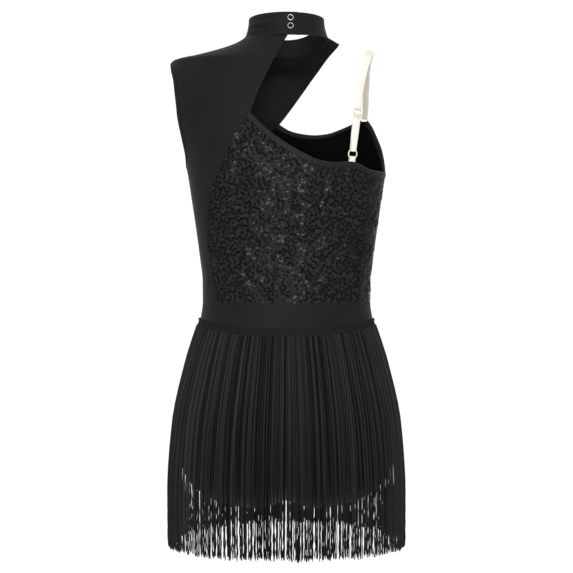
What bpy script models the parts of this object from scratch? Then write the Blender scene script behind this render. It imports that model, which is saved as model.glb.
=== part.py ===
"""Latin dance leotard, built as a maker would cut it: stretch cloth walls, sequin panels, collar,
bindings, fringe skirt and one elastic shoulder strap, filled out on a general figure.

Blender metres, +Z up. The wearer faces -Y, so the wearer's left is +X and the back is +Y.
The origin is the middle of the neck, level with the collar seam on the shoulders.
Tables are in millimetres, and MM turns them into metres where a mesh is made.
"""

import math

import bmesh
import bpy
import numpy as np

MM = 0.001

CLOTH = 1.2
SEQUIN_CLOTH = 1.8
COLLAR_CLOTH = 1.6
BINDING_CLOTH = 1.0
SEAM_GAP = 0.3
SQUARENESS = 2.2

# The filled figure from the collar seam down to the crotch, one row for each level.
# height, half width, depth to the back, depth to the front, share of the neckline's slant, lift of the crotch
FIGURE = np.array([
    (4.0, 51.5, 48.0, 48.0, 1.00, 0.0),
    (-0.5, 58.0, 50.5, 50.5, 0.97, 0.0),
    (-4.6, 66.0, 53.0, 53.0, 0.93, 0.0),
    (-8.3, 76.0, 56.0, 56.0, 0.88, 0.0),
    (-12.0, 88.0, 59.0, 59.0, 0.81, 0.0),
    (-16.0, 103.0, 62.5, 62.5, 0.73, 0.0),
    (-19.6, 118.0, 66.0, 65.5, 0.64, 0.0),
    (-22.8, 134.0, 69.0, 68.0, 0.56, 0.0),
    (-26.0, 142.5, 71.0, 69.5, 0.52, 0.0),
    (-32.0, 146.0, 73.5, 72.0, 0.45, 0.0),
    (-42.0, 149.5, 76.0, 74.5, 0.37, 0.0),
    (-60.0, 151.5, 79.5, 78.5, 0.26, 0.0),
    (-90.0, 149.0, 84.0, 84.0, 0.10, 0.0),
    (-120.0, 139.0, 86.5, 88.0, 0.04, 0.0),
    (-145.0, 128.5, 87.0, 90.5, 0.00, 0.0),
    (-168.0, 123.0, 86.0, 91.0, 0.00, 0.0),
    (-200.0, 118.0, 83.5, 89.0, 0.00, 0.0),
    (-240.0, 112.0, 80.0, 85.0, 0.00, 0.0),
    (-270.0, 108.0, 78.0, 81.5, 0.00, 0.0),
    (-300.0, 104.6, 76.5, 79.0, 0.00, 0.0),
    (-325.0, 104.4, 77.0, 78.5, 0.00, 0.0),
    (-345.0, 107.0, 80.5, 80.0, 0.00, 0.0),
    (-375.0, 112.0, 86.0, 82.5, 0.00, 0.0),
    (-410.0, 120.5, 92.0, 85.0, 0.00, 0.0),
    (-450.0, 129.0, 97.0, 88.0, 0.00, 0.0),
    (-490.0, 133.5, 99.0, 88.5, 0.00, 0.0),
    (-520.0, 134.0, 97.0, 86.0, 0.00, 1.0),
    (-542.0, 129.0, 91.0, 80.0, 0.00, 3.0),
    (-560.0, 114.0, 79.0, 68.0, 0.00, 6.0),
    (-573.0, 88.0, 60.0, 51.0, 0.00, 9.0),
    (-580.0, 54.0, 37.0, 31.0, 0.00, 11.0),
    (-582.0, 22.0, 15.0, 13.0, 0.00, 12.0),
    (-582.2, 0.0, 0.0, 0.0, 0.00, 12.0),
])
CROTCH_GROOVE = 20.0

# How far the neckline drops at the front, and how sharply.
NECK_DROP = 20.6
NECK_DROP_POWER = 1.6

WAIST = -325.0
UNDERARM_LEFT = -160.0
UNDERARM_RIGHT = -167.0
SHOULDER_TIP = -28.0
NECK_SEAM = 4.0

# The armhole's edge on each side of the shoulder: height, degrees round from the side.
ARMHOLE_EDGE = [
    (-160.0, 0.0), (-153.0, 9.0), (-138.0, 16.5), (-115.0, 23.0), (-85.0, 26.5),
    (-58.0, 25.0), (-41.0, 18.5), (-32.0, 10.0), (-28.0, 0.0),
]

# Pattern lines as they look square on: place across (wearer's left is plus), height.
BACK_SEAM = [
    (81.0, -325.0), (85.5, -320.0), (88.8, -307.0), (91.3, -288.0), (93.7, -269.0), (96.2, -250.0),
    (96.2, -223.0), (94.9, -204.5), (92.4, -188.5), (86.7, -172.0), (79.8, -155.0), (72.3, -140.0),
    (66.0, -127.0), (57.9, -113.5), (49.2, -101.5), (44.8, -95.5),
]
BACK_CUT = [
    (44.8, -95.5), (41.1, -84.0), (37.3, -73.5), (27.7, -52.6), (19.4, -35.3), (11.5, -19.5), (4.3, -6.0),
    (-1.5, 4.0),
]
BACK_NECKLINE = [
    (44.8, -95.5), (33.0, -107.7), (21.0, -118.4), (3.0, -131.7), (-20.0, -145.0), (-41.6, -154.0),
    (-58.6, -156.0), (-75.5, -155.0), (-85.5, -156.6), (-94.5, -160.6), (-102.0, -163.8),
    (-113.0, -165.8), (-123.1, -167.0),
]
FRONT_SEAM = [
    (74.0, -325.0), (80.0, -319.0), (86.0, -300.0), (89.5, -270.0), (90.0, -240.0),
    (86.5, -210.0), (77.0, -180.0), (60.0, -149.0), (36.0, -121.5), (10.5, -100.5),
]
FRONT_CUT = [
    (10.5, -100.5), (-3.0, -83.3), (-19.4, -60.9), (-38.9, -34.2), (-53.2, -16.7), (-66.0, -4.6),
]
FRONT_NECKLINE = [
    (10.5, -100.5), (-3.0, -108.6), (-19.4, -112.9), (-36.0, -114.6), (-52.4, -113.1), (-68.8, -107.8),
    (-85.0, -101.2), (-95.5, -96.6),
]
FRONT_STRAP_CORNER = (-104.0, -97.0)
RIGHT_ARM_EDGE = [
    (-104.0, -97.0), (-109.5, -105.5), (-113.6, -115.0), (-117.8, -126.0), (-120.8, -136.0), (-122.8, -150.0),
    (-123.4, -160.0), (-123.1, -167.0),
]

# The leg openings, measured over the cloth from the middle of the crotch.
CROTCH_HALF_WIDTH = 32.0
LEG_TOP = -508.0
LEG_BACK_REACH = 54.0
LEG_FRONT_REACH = 74.0

# Rows and columns of the cloth grids.
SIDE_ROWS = 9
ARMHOLE_ROWS = 7
RIDGE_ROWS = 6
PANEL_ROWS = SIDE_ROWS + ARMHOLE_ROWS + RIDGE_ROWS
SEAM_ROWS = 12
SHOULDER_COLUMNS = 8
CHEST_COLUMNS = 11
SEQUIN_COLUMNS = 14
BRIEF_SIDE_ROWS = 5
BRIEF_LEG_ROWS = 7

# The collar is one doubled band, its left end snapped over its right end at the back.
COLLAR_TOP_WIDTH = 47.2
COLLAR_TOP_DEPTH = 44.5
COLLAR_BACK_HEIGHT = 26.5
COLLAR_SIDE_HEIGHT = 21.0
COLLAR_FRONT_HEIGHT = 21.5
COLLAR_UNDER_END = 2.0
COLLAR_OVER_END = -13.0
COLLAR_LIFT_START = 425.0
COLLAR_LIFT_END = 447.0
COLLAR_ROUND_STEPS = 56
COLLAR_ROWS = 2
SNAP_PLACE = -5.0
SNAP_HEIGHTS = (0.36, 0.75)
SNAP_OUTER = 4.2
SNAP_INNER = 2.6
SNAP_THICK = 1.1
SNAP_STEPS = 20

BINDING_WIDTH = 4.6

# The fringe: a tape round the hips with locks that hang from it.
TAPE_TOP = -346.5
TAPE_BACK_DIP = 10.5
TAPE_HEIGHT = 9.5
TAPE_CLEAR = 0.8
TAPE_THICK = 1.8
LOCKS = 150
LOCK_SHARE = 0.62
FRINGE_END = -627.5
FRINGE_BACK_DIP = 1.5
FRINGE_FRONT_RISE = 10.5
# share of the fall, half width, depth to the back, depth to the front
FRINGE_FALL = np.array([
    (0.00, 109.5, 86.3, 83.4),
    (0.16, 123.6, 97.3, 93.8),
    (0.46, 141.0, 110.3, 103.3),
    (0.75, 146.2, 113.2, 104.9),
    (1.00, 145.4, 113.6, 105.0),
])
LOCK_THICK = 2.1
LOCK_SWAY = 0.45
LOCK_UNEVEN = 2.6

# The strap runs from the front's corner over the shoulder to the ring at the back.
STRAP_WIDTH = 10.0
STRAP_THICK = 1.0
# Its middle line: place across, height on the figure, side (+1 back, -1 front, 0 the top), held out by
STRAP_LINE = [
    (-100.0, -95.5, -1, 0.0), (-101.5, -80.0, -1, 0.0), (-102.0, -62.0, -1, 0.0), (-102.5, -46.0, -1, 0.5),
    (-102.5, -30.0, -1, 1.5), (-101.0, -16.5, 0, 3.0), (-98.5, -27.0, 1, 1.5), (-95.5, -37.0, 1, 0.5),
    (-92.2, -50.0, 1, 0.0), (-89.3, -66.0, 1, 0.0), (-86.8, -86.0, 1, 0.0), (-84.7, -107.0, 1, 0.0),
    (-82.5, -125.0, 1, 0.0), (-80.5, -144.2, 1, 0.0),
]
RING_RADIUS = 6.0
RING_WIRE = 0.75
SLIDER_FROM_RING = 50.0
SLIDER_WIDTH = 13.6
SLIDER_HEIGHT = 11.0
SLIDER_BAR = 1.4
SLIDER_THICK = 1.2
STRAP_AT_RING = 7.2
TAB_REACH = 9.3


def hermite(knots, values, at):
    """A smooth curve through the values with no overshoot between them."""
    knots = np.asarray(knots, float)
    values = np.asarray(values, float)
    at = np.clip(np.asarray(at, float), knots[0], knots[-1])
    gaps = np.diff(knots)
    slopes = np.diff(values) / gaps
    tangents = np.empty_like(values)
    tangents[0], tangents[-1] = slopes[0], slopes[-1]
    before, after = slopes[:-1], slopes[1:]
    same_way = before * after > 0
    safe = np.where(same_way, before + after, 1.0)
    tangents[1:-1] = np.where(same_way, 2 * before * after / safe, 0.0)
    i = np.clip(np.searchsorted(knots, at, side="right") - 1, 0, len(gaps) - 1)
    t = (at - knots[i]) / gaps[i]
    return (
        (1 + 2 * t) * (1 - t) ** 2 * values[i]
        + t * (1 - t) ** 2 * gaps[i] * tangents[i]
        + t * t * (3 - 2 * t) * values[i + 1]
        + t * t * (t - 1) * gaps[i] * tangents[i + 1]
    )


# Distance over the cloth along the figure's side, from the collar seam down to the crotch.
SIDE_STEPS = np.hypot(np.diff(FIGURE[:, 0]), np.diff(FIGURE[:, 1]))
RUN = np.concatenate([[0.0], np.cumsum(SIDE_STEPS)])
WHOLE_RUN = RUN[-1]
FINE_RUN = np.linspace(0.0, WHOLE_RUN, 2400)
FINE_HEIGHT, FINE_WIDE, FINE_SHARE = (hermite(RUN, FIGURE[:, k], FINE_RUN) for k in (0, 1, 4))


def run_at(height):
    """How far down the side a level of the figure lies."""
    return np.interp(-np.asarray(height, float), -FINE_HEIGHT, FINE_RUN)


def powered(value):
    return np.sign(value) * np.abs(value) ** (2 / SQUARENESS)


def slant(angle):
    return -NECK_DROP * np.maximum(-np.sin(angle), 0.0) ** NECK_DROP_POWER


def figure(angle, run):
    """Points on the figure. The angle is 0 at the wearer's left, a quarter turn at the back."""
    angle, run = np.broadcast_arrays(np.asarray(angle, float), np.asarray(run, float))
    height, wide, back, front, share, lift = (hermite(RUN, FIGURE[:, k], run) for k in range(6))
    depth = np.where(np.sin(angle) >= 0, back, front)
    x = wide * powered(np.cos(angle))
    y = depth * powered(np.sin(angle))
    z = height + share * slant(angle) + lift * np.exp(-((x / CROTCH_GROOVE) ** 2))
    return np.stack([x, y, z], axis=-1)


def to_polar(angle, run):
    """The cloth round the crotch laid flat: distance from the crotch, turned by the angle."""
    reach = WHOLE_RUN - np.asarray(run, float)
    return np.stack([reach * np.cos(angle), reach * np.sin(angle)], axis=-1)


def from_polar(flat):
    reach = np.maximum(np.hypot(flat[..., 0], flat[..., 1]), 0.4)
    return np.arctan2(flat[..., 1], flat[..., 0]), WHOLE_RUN - reach


def outward(angle, run):
    """Unit normals of the figure, from its slopes either way over the flat cloth."""
    flat = to_polar(np.asarray(angle, float), run)
    across = figure(*from_polar(flat + (0.5, 0))) - figure(*from_polar(flat - (0.5, 0)))
    back = figure(*from_polar(flat + (0, 0.5))) - figure(*from_polar(flat - (0, 0.5)))
    normal = np.cross(back, across)
    return normal / np.linalg.norm(normal, axis=-1, keepdims=True)


def place(across, height, side):
    """The (angle, run) of a point seen square on, on the back (side +1) or the front (-1)."""
    share = np.minimum(abs(across) / np.maximum(FINE_WIDE, 1.0), 1.0)
    angles = side * np.arccos(np.copysign(share ** (SQUARENESS / 2), across))
    drops = np.maximum.accumulate(-FINE_HEIGHT - FINE_SHARE * slant(angles))
    run = float(np.interp(-height, drops, FINE_RUN))
    return float(np.interp(run, FINE_RUN, angles)), run


def line(points, count, side=None):
    """A pattern line through the points, as count + 1 even (angle, run) stations."""
    points = np.array(points, float)
    if side is not None:
        steps = np.concatenate([[0.0], np.cumsum(np.linalg.norm(np.diff(points, axis=0), axis=1))])
        fine = np.linspace(0.0, steps[-1], 80)
        across, heights = (hermite(steps, points[:, k], fine) for k in (0, 1))
        points = np.array([place(x, z, side) for x, z in zip(across, heights)])
    solid = figure(points[:, 0], points[:, 1])
    along = np.concatenate([[0.0], np.cumsum(np.linalg.norm(np.diff(solid, axis=0), axis=1))])
    at = np.linspace(0.0, along[-1], count + 1)
    return np.stack([hermite(along, points[:, k], at) for k in (0, 1)], axis=-1)


def joined(*lines):
    """Several pattern lines as one, each starting where the last one ended."""
    return np.concatenate([lines[0], *(part[1:] for part in lines[1:])])


def coons(bottom, top, left, right):
    """A grid between four edges. Rows go from bottom to top and columns from left to right."""
    u = np.linspace(0.0, 1.0, len(bottom))[None, :, None]
    v = np.linspace(0.0, 1.0, len(left))[:, None, None]
    ruled = (1 - v) * bottom[None] + v * top[None] + (1 - u) * left[:, None] + u * right[:, None]
    corners = (
        (1 - u) * (1 - v) * bottom[0] + u * (1 - v) * bottom[-1]
        + (1 - u) * v * top[0] + u * v * top[-1]
    )
    return ruled - corners


def pulled_in(grid, edges):
    """The grid of points with the named edges drawn in by half a seam gap."""
    made = grid.copy()
    pairs = {
        "bottom": (np.s_[0, :], np.s_[1, :]), "top": (np.s_[-1, :], np.s_[-2, :]),
        "left": (np.s_[:, 0], np.s_[:, 1]), "right": (np.s_[:, -1], np.s_[:, -2]),
    }
    for edge in edges:
        outer, inner = pairs[edge]
        way = grid[inner] - grid[outer]
        size = np.maximum(np.linalg.norm(way, axis=-1, keepdims=True), 1e-9)
        made[outer] = made[outer] + way / size * SEAM_GAP / 2
    return made


def material(name, colour, roughness, metallic=0.0):
    made = bpy.data.materials.new(name)
    made.use_nodes = True
    shader = made.node_tree.nodes["Principled BSDF"]
    shader.inputs["Base Color"].default_value = (*colour, 1.0)
    shader.inputs["Roughness"].default_value = roughness
    shader.inputs["Metallic"].default_value = metallic
    made.diffuse_color = (*colour, 1.0)
    return made


def add_object(name, points, faces, finish, smooth=True):
    mesh = bpy.data.meshes.new(name)
    mesh.from_pydata([tuple(p) for p in np.asarray(points) * MM], [], faces)
    mesh.materials.append(finish)
    if smooth:
        mesh.shade_smooth()
        mesh.set_sharp_from_angle(angle=math.radians(40))
    made = bpy.data.objects.new(name, mesh)
    bpy.context.scene.collection.objects.link(made)
    return made


def cloth(name, patches, thickness, finish):
    """A cloth wall from patches of (outer points, normals), joined where they meet."""
    outer, inner, faces, found = [], [], [], {}
    for points, normals in patches:
        rows, columns = points.shape[:2]
        corner = np.zeros((rows, columns), int)
        for r in range(rows):
            for c in range(columns):
                key = tuple(np.round(points[r, c], 3))
                if key not in found:
                    found[key] = len(outer)
                    outer.append(points[r, c])
                    inner.append(points[r, c] - normals[r, c] * thickness)
                corner[r, c] = found[key]
        for r in range(rows - 1):
            for c in range(columns - 1):
                around = (corner[r, c], corner[r, c + 1], corner[r + 1, c + 1], corner[r + 1, c])
                faces.append(tuple(int(i) for i in dict.fromkeys(around)))
    count = len(outer)
    edges = {}
    for face in faces:
        for a, b in zip(face, face[1:] + face[:1]):
            edges[(a, b)] = True
    rim = [(b, a, a + count, b + count) for a, b in edges if (b, a) not in edges]
    back = [tuple(i + count for i in face[::-1]) for face in faces]
    made = add_object(name, outer + inner, faces + back + rim, finish)
    face_out(made)
    return made


def swept(name, sections, finish, closed=False, smooth=True):
    """A solid through cross-sections that all have the same number of points, with flat ends."""
    sections = np.asarray(sections, float)
    count, sides = sections.shape[:2]
    faces = []
    for i in range(count if closed else count - 1):
        here, there = i * sides, (i + 1) % count * sides
        for k in range(sides):
            n = (k + 1) % sides
            faces.append((here + k, here + n, there + n, there + k))
    if not closed:
        faces.append(tuple(range(sides))[::-1])
        faces.append(tuple(range((count - 1) * sides, count * sides)))
    made = add_object(name, sections.reshape(-1, 3), faces, finish, smooth)
    face_out(made)
    return made


def face_out(made):
    skin = bmesh.new()
    skin.from_mesh(made.data)
    bmesh.ops.recalc_face_normals(skin, faces=skin.faces)
    skin.to_mesh(made.data)
    skin.free()


def on_grid(grid):
    return figure(grid[..., 0], grid[..., 1])


def normals_on(grid):
    return outward(grid[..., 0], grid[..., 1])


def side_line(angle, top, bottom, count):
    """Stations straight up the figure at one angle, from the bottom level to the top one."""
    runs = np.linspace(run_at(bottom), run_at(top), count + 1)
    return np.stack([np.full(count + 1, angle), runs], axis=-1)


def armhole_line(turn):
    """The armhole's edge from the underarm to the shoulder tip, on the back (+1) or front (-1)."""
    points = [(turn * math.radians(degrees), float(run_at(z))) for z, degrees in ARMHOLE_EDGE]
    return line(points, ARMHOLE_ROWS)


def left_edge(turn):
    """The shoulder panel's outer edge: side seam, armhole, then the shoulder seam to the collar."""
    return joined(
        side_line(0.0, UNDERARM_LEFT, WAIST, SIDE_ROWS),
        armhole_line(turn),
        side_line(0.0, NECK_SEAM, SHOULDER_TIP, RIDGE_ROWS),
    )


def level(start, end, run, count, ease=1.0):
    """Stations round the figure at one level."""
    share = np.linspace(0.0, 1.0, count + 1) ** ease
    return np.stack([start + (end - start) * share, np.full(count + 1, run)], axis=-1)


def brief_grid(angles, side):
    """The brief's half from the waist to the crotch seam, round the leg openings."""
    reach_sideways = WHOLE_RUN - float(run_at(LEG_TOP))
    middle = (reach_sideways + CROTCH_HALF_WIDTH) / 2
    half = (reach_sideways - CROTCH_HALF_WIDTH) / 2
    bulge = LEG_BACK_REACH if side > 0 else LEG_FRONT_REACH
    turns = np.linspace(0.0, math.pi, BRIEF_LEG_ROWS + 1)
    leg = np.stack([middle + half * np.cos(turns), side * bulge * np.sin(turns)], axis=-1)
    seam_runs = np.linspace(run_at(WAIST), run_at(LEG_TOP), BRIEF_SIDE_ROWS + 1)
    seam = to_polar(np.zeros(BRIEF_SIDE_ROWS + 1), seam_runs)
    left = joined(seam, leg)
    right = left * (-1.0, 1.0)
    waist = to_polar(angles, np.full(len(angles), run_at(WAIST)))
    across = np.linspace(CROTCH_HALF_WIDTH, -CROTCH_HALF_WIDTH, len(angles))
    crotch = np.stack([across, np.zeros(len(angles))], axis=-1)
    flat = coons(waist, crotch, left, right)
    flat[..., 1] = side * np.maximum(side * flat[..., 1], 0.0)
    return np.stack(from_polar(flat), axis=-1)


def main_panel(name, side, seam, top, inner_edge, columns, finish):
    """A plain half of the leotard in one piece: shoulder, side, waistband and brief."""
    left = left_edge(side)
    right = joined(seam, inner_edge)
    waist_run = float(run_at(WAIST))
    bottom = level(0.0, seam[0, 0], waist_run, columns)
    shoulder = coons(bottom, top, left, right)
    rest = level(seam[0, 0], side * math.pi, waist_run, SEQUIN_COLUMNS)
    brief = brief_grid(joined(bottom, rest)[:, 0], side)
    upper = pulled_in(on_grid(shoulder), ("left", "right", "top"))
    lower = pulled_in(on_grid(brief), ("top", "left", "right"))
    lower[0, columns:] = pulled_in(on_grid(brief), ("bottom",))[0, columns:]
    upper[0, :] = lower[0, : columns + 1]
    patches = [(upper, normals_on(shoulder)), (lower[::-1], normals_on(brief)[::-1])]
    return cloth(name, patches, CLOTH, finish)


def sequin_panel(name, side, seam, neckline, finish):
    """The sequined half of the bodice, from the seam round to the right side."""
    waist_run = float(run_at(WAIST))
    bottom = level(seam[0, 0], side * math.pi, waist_run, SEQUIN_COLUMNS)
    right = side_line(side * math.pi, UNDERARM_RIGHT, WAIST, SEAM_ROWS)
    grid = coons(bottom, neckline, seam, right)
    outer = pulled_in(on_grid(grid), ("bottom", "left", "right"))
    cloth(name, [(outer, normals_on(grid))], SEQUIN_CLOTH, finish)
    return outer, normals_on(grid)


def collar_point(angle, share):
    """A point of the collar's outer face, share 0 at its seam and 1 at its top edge."""
    angle = np.asarray(angle, float)
    back_share = np.sin(angle)
    height = np.where(
        back_share >= 0,
        COLLAR_SIDE_HEIGHT + (COLLAR_BACK_HEIGHT - COLLAR_SIDE_HEIGHT) * back_share,
        COLLAR_SIDE_HEIGHT - (COLLAR_FRONT_HEIGHT - COLLAR_SIDE_HEIGHT) * back_share,
    )
    bow = 1 - (1 - share) ** 2
    wide = FIGURE[0, 1] + (COLLAR_TOP_WIDTH - FIGURE[0, 1]) * bow
    deep = FIGURE[0, 2] + (COLLAR_TOP_DEPTH - FIGURE[0, 2]) * bow
    lift = COLLAR_CLOTH + SEAM_GAP + 0.3
    turned = np.clip(
        (np.degrees(angle) - COLLAR_LIFT_START) / (COLLAR_LIFT_END - COLLAR_LIFT_START), 0.0, 1.0
    )
    out = lift * turned * turned * (3 - 2 * turned)
    x = (wide + out) * powered(np.cos(angle))
    y = (deep + out) * powered(np.sin(angle))
    z = NECK_SEAM + slant(angle) + SEAM_GAP + share * height
    return np.stack([x, y, z], axis=-1)


def collar_angle(across, turns=0):
    """The collar's angle at a place across the back."""
    share = (abs(across) / FIGURE[0, 1]) ** (SQUARENESS / 2)
    return math.acos(math.copysign(share, across)) + turns * 2 * math.pi


def collar(finish):
    """One doubled band round the neck, whose left end laps over its right end at the back."""
    start, end = collar_angle(COLLAR_UNDER_END), collar_angle(COLLAR_OVER_END, 1)
    angles = np.linspace(start, end, COLLAR_ROUND_STEPS + 1)
    rows = np.stack([collar_point(angles, share) for share in np.linspace(0.0, 1.0, COLLAR_ROWS + 1)])
    normals = np.cross(np.gradient(rows, axis=1), np.gradient(rows, axis=0))
    normals /= np.linalg.norm(normals, axis=-1, keepdims=True)
    return cloth("collar", [(rows, normals)], COLLAR_CLOTH, finish)


def frame_at(point, across, up):
    """Three unit directions: across, up and out of a surface."""
    out = np.cross(across, up)
    return [v / np.linalg.norm(v) for v in (across, up, out)]


def collar_snap(name, share, finish):
    """An open snap ring on the collar's upper end, with the cloth showing in its middle."""
    angle = collar_angle(SNAP_PLACE, 1)
    centre = collar_point(angle, share)
    across = collar_point(angle + 0.01, share) - centre
    up = collar_point(angle, share + 0.02) - centre
    across, up, out = frame_at(centre, across, up)
    low, high = 0.45, 0.45 + SNAP_THICK
    edge = (SNAP_OUTER - SNAP_INNER) / 4
    profile = [
        (SNAP_INNER, low), (SNAP_OUTER, low), (SNAP_OUTER, (low + high) / 2),
        (SNAP_OUTER - edge, high), (SNAP_INNER + edge, high), (SNAP_INNER, (low + high) / 2),
    ]
    sections = []
    for turn in np.linspace(0.0, 2 * math.pi, SNAP_STEPS, endpoint=False):
        way = math.cos(turn) * across + math.sin(turn) * up
        sections.append([centre + radius * way + height * out for radius, height in profile])
    return swept(name, sections, finish, closed=True)


def binding(name, panel, columns, finish, ends):
    """A folded strip over a panel's top edge: outer leaf, fold and inner leaf, from the panel's points."""
    outer, normals = (grid[:, columns[0]: columns[1] + 1] for grid in panel)
    edge, below = outer[-1].copy(), outer[-2].copy()
    for side, shift in zip((0, -1), ends):
        inward = 1 if side == 0 else -2
        for row in (edge, below):
            way = row[inward] - row[side]
            row[side] += way / np.linalg.norm(way) * shift
    down = (below - edge) / np.linalg.norm(below - edge, axis=1, keepdims=True)
    share = BINDING_WIDTH / np.linalg.norm(below - edge, axis=1, keepdims=True)
    leaf_normals = normals[-1] + (normals[-2] - normals[-1]) * share
    near, far = SEAM_GAP, SEAM_GAP + BINDING_CLOTH
    back = -SEQUIN_CLOTH
    # How far down the panel, and how far out of it.
    profile = [
        (BINDING_WIDTH, near), (BINDING_WIDTH, far), (0.0, far), (-far, 0.0), (-far, back), (0.0, back - far),
        (BINDING_WIDTH, back - far), (BINDING_WIDTH, back - near), (-near, back - near), (-near, near),
    ]
    sections = []
    for e, d, n, m in zip(edge, down, normals[-1], leaf_normals):
        sections.append([e + d * a + (m if a > 0 else n) * o for a, o in profile])
    return swept(name, sections, finish)


def tape_top(angle):
    return TAPE_TOP - TAPE_BACK_DIP * np.maximum(np.sin(angle), 0.0) ** 2


def tape_point(angle, height, out):
    """A point beside the brief at one level, moved out from it."""
    run = run_at(height)
    return figure(angle, run) + outward(angle, run) * (1, 1, 0) * out


def fringe(finish):
    """The tape round the hips with its locks, fused at their roots. One closed solid."""
    ring = np.linspace(0.0, 2 * math.pi, 721)
    along = np.linalg.norm(np.diff(tape_point(ring, TAPE_TOP, TAPE_CLEAR), axis=0), axis=1)
    along = np.concatenate([[0.0], np.cumsum(along)])
    pitch = along[-1] / LOCKS

    def angle_at(distance):
        return float(np.interp(distance, along, ring))

    points, faces = [], []

    def add(*new):
        points.extend(new)
        return len(points) - 1

    # Each lock takes the first share of its pitch along the tape's lower edge.
    tops, bottoms = [], []
    for i in range(LOCKS):
        start, end = angle_at(i * pitch), angle_at((i + LOCK_SHARE) * pitch)
        high = tape_top(start)
        tops.append([
            add(tape_point(start, high, TAPE_CLEAR + depth)) for depth in (0.0, TAPE_THICK)
        ])
        low = high - TAPE_HEIGHT
        bottoms.append([
            [add(tape_point(angle, low, TAPE_CLEAR + depth)) for depth in (0.0, TAPE_THICK)]
            for angle in (start, end)
        ])
    for i in range(LOCKS):
        n = (i + 1) % LOCKS
        (in0, out0), (in1, out1) = bottoms[i]
        in2, out2 = bottoms[n][0]
        faces.append((tops[i][1], out0, out1, out2, tops[n][1]))
        faces.append((tops[n][0], in2, in1, in0, tops[i][0]))
        faces.append((tops[i][0], tops[i][1], tops[n][1], tops[n][0]))
        faces.append((in1, in2, out2, out1))
        lock(i, (in0, out0, out1, in1), angle_at((i + LOCK_SHARE / 2) * pitch), add, faces)
    made = add_object("fringe_skirt", points, faces, finish, smooth=False)
    face_out(made)
    return made


def lock(i, root, angle, add, faces):
    """One four-sided lock that hangs from four root points, over the hips and then straight down."""
    sway = LOCK_SWAY * math.sin(2.4 * i)
    uneven = LOCK_UNEVEN * math.sin(1.7 * i) * math.cos(0.37 * i)
    base = tape_top(angle) - TAPE_HEIGHT
    lift = -FRINGE_BACK_DIP if math.sin(angle) >= 0 else FRINGE_FRONT_RISE
    end = FRINGE_END + lift * math.sin(angle) ** 2 - uneven
    last = root
    for k in range(1, len(FRINGE_FALL)):
        share, wide, back, front = FRINGE_FALL[k]
        deep = back if math.sin(angle) >= 0 else front
        c, s = powered(math.cos(angle)), powered(math.sin(angle))
        middle = np.array([wide * c, deep * s, base + (end - base) * share])
        along = np.array([-wide * math.sin(angle), deep * math.cos(angle), 0.0])
        along /= np.linalg.norm(along)
        out = np.array([along[1], -along[0], 0.0])
        middle += along * sway * share + out * (sway + LOCK_THICK / 2)
        half = along * (0.85 + 0.35 * share)
        thick = out * LOCK_THICK / 2
        ring = [
            add(middle - half - thick), add(middle - half + thick),
            add(middle + half + thick), add(middle + half - thick),
        ]
        for a in range(4):
            b = (a + 1) % 4
            faces.append((last[a], last[b], ring[b], ring[a]))
        last = ring
    faces.append(tuple(last))


class StrapPath:
    """The strap's middle line on the figure, with the directions along, across and out."""

    def __init__(self):
        top = math.pi
        spots = np.array([
            place(x, z, side) if side else (top, run_at(z)) for x, z, side, _ in STRAP_LINE
        ])
        lifts = np.array([row[3] for row in STRAP_LINE])[:, None]
        solid = on_grid(spots) + normals_on(spots) * lifts
        steps = np.concatenate([[0.0], np.cumsum(np.linalg.norm(np.diff(solid, axis=0), axis=1))])
        fine = np.linspace(0.0, steps[-1], 400)
        self.line = np.stack([hermite(steps, solid[:, k], fine) for k in range(3)], axis=-1)
        for _ in range(25):
            self.line[1:-1] = (self.line[:-2] + 2 * self.line[1:-1] + self.line[2:]) / 4
        lengths = np.linalg.norm(np.diff(self.line, axis=0), axis=1)
        self.at = np.concatenate([[0.0], np.cumsum(lengths)])
        self.length = self.at[-1]
        middle = np.array([self.line[:, 0].mean() + 60.0, 0.0, -110.0])
        tangent = np.gradient(self.line, axis=0)
        self.along = tangent / np.linalg.norm(tangent, axis=1, keepdims=True)
        rough = self.line - middle
        rough -= self.along * np.sum(rough * self.along, axis=1, keepdims=True)
        self.out = rough / np.linalg.norm(rough, axis=1, keepdims=True)

    def frame(self, distance):
        """(point, along, across, out) at a distance from the front end, also past either end."""
        inside = min(max(distance, 0.0), self.length)
        point = np.array([np.interp(inside, self.at, self.line[:, k]) for k in range(3)])
        along = np.array([np.interp(inside, self.at, self.along[:, k]) for k in range(3)])
        out = np.array([np.interp(inside, self.at, self.out[:, k]) for k in range(3)])
        along /= np.linalg.norm(along)
        out -= along * (out @ along)
        out /= np.linalg.norm(out)
        return point + along * (distance - inside), along, np.cross(out, along), out


def band(name, path, stations, finish):
    """A flat band through stations of (distance, height above the path, width)."""
    places = []
    for distance, height, width in stations:
        point, along, across, out = path.frame(distance)
        places.append((point + out * height, across, width))
    centres = np.array([p for p, _, _ in places])
    ways = np.gradient(centres, axis=0)
    sections = []
    for (centre, across, width), way in zip(places, ways):
        way = way / np.linalg.norm(way)
        face = np.cross(way, across)
        half, thick = across * width / 2, face / np.linalg.norm(face) * STRAP_THICK / 2
        sections.append([
            centre - half - thick, centre + half - thick, centre + half + thick, centre - half + thick,
        ])
    return swept(name, sections, finish)


def smooth_step(value):
    value = min(max(value, 0.0), 1.0)
    return value * value * (3 - 2 * value)


LAYER = STRAP_THICK + SEAM_GAP
TURN = RING_WIRE + SEAM_GAP + STRAP_THICK / 2
RING_SAG = RING_RADIUS - math.sqrt(RING_RADIUS ** 2 - (STRAP_AT_RING / 2) ** 2)


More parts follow.
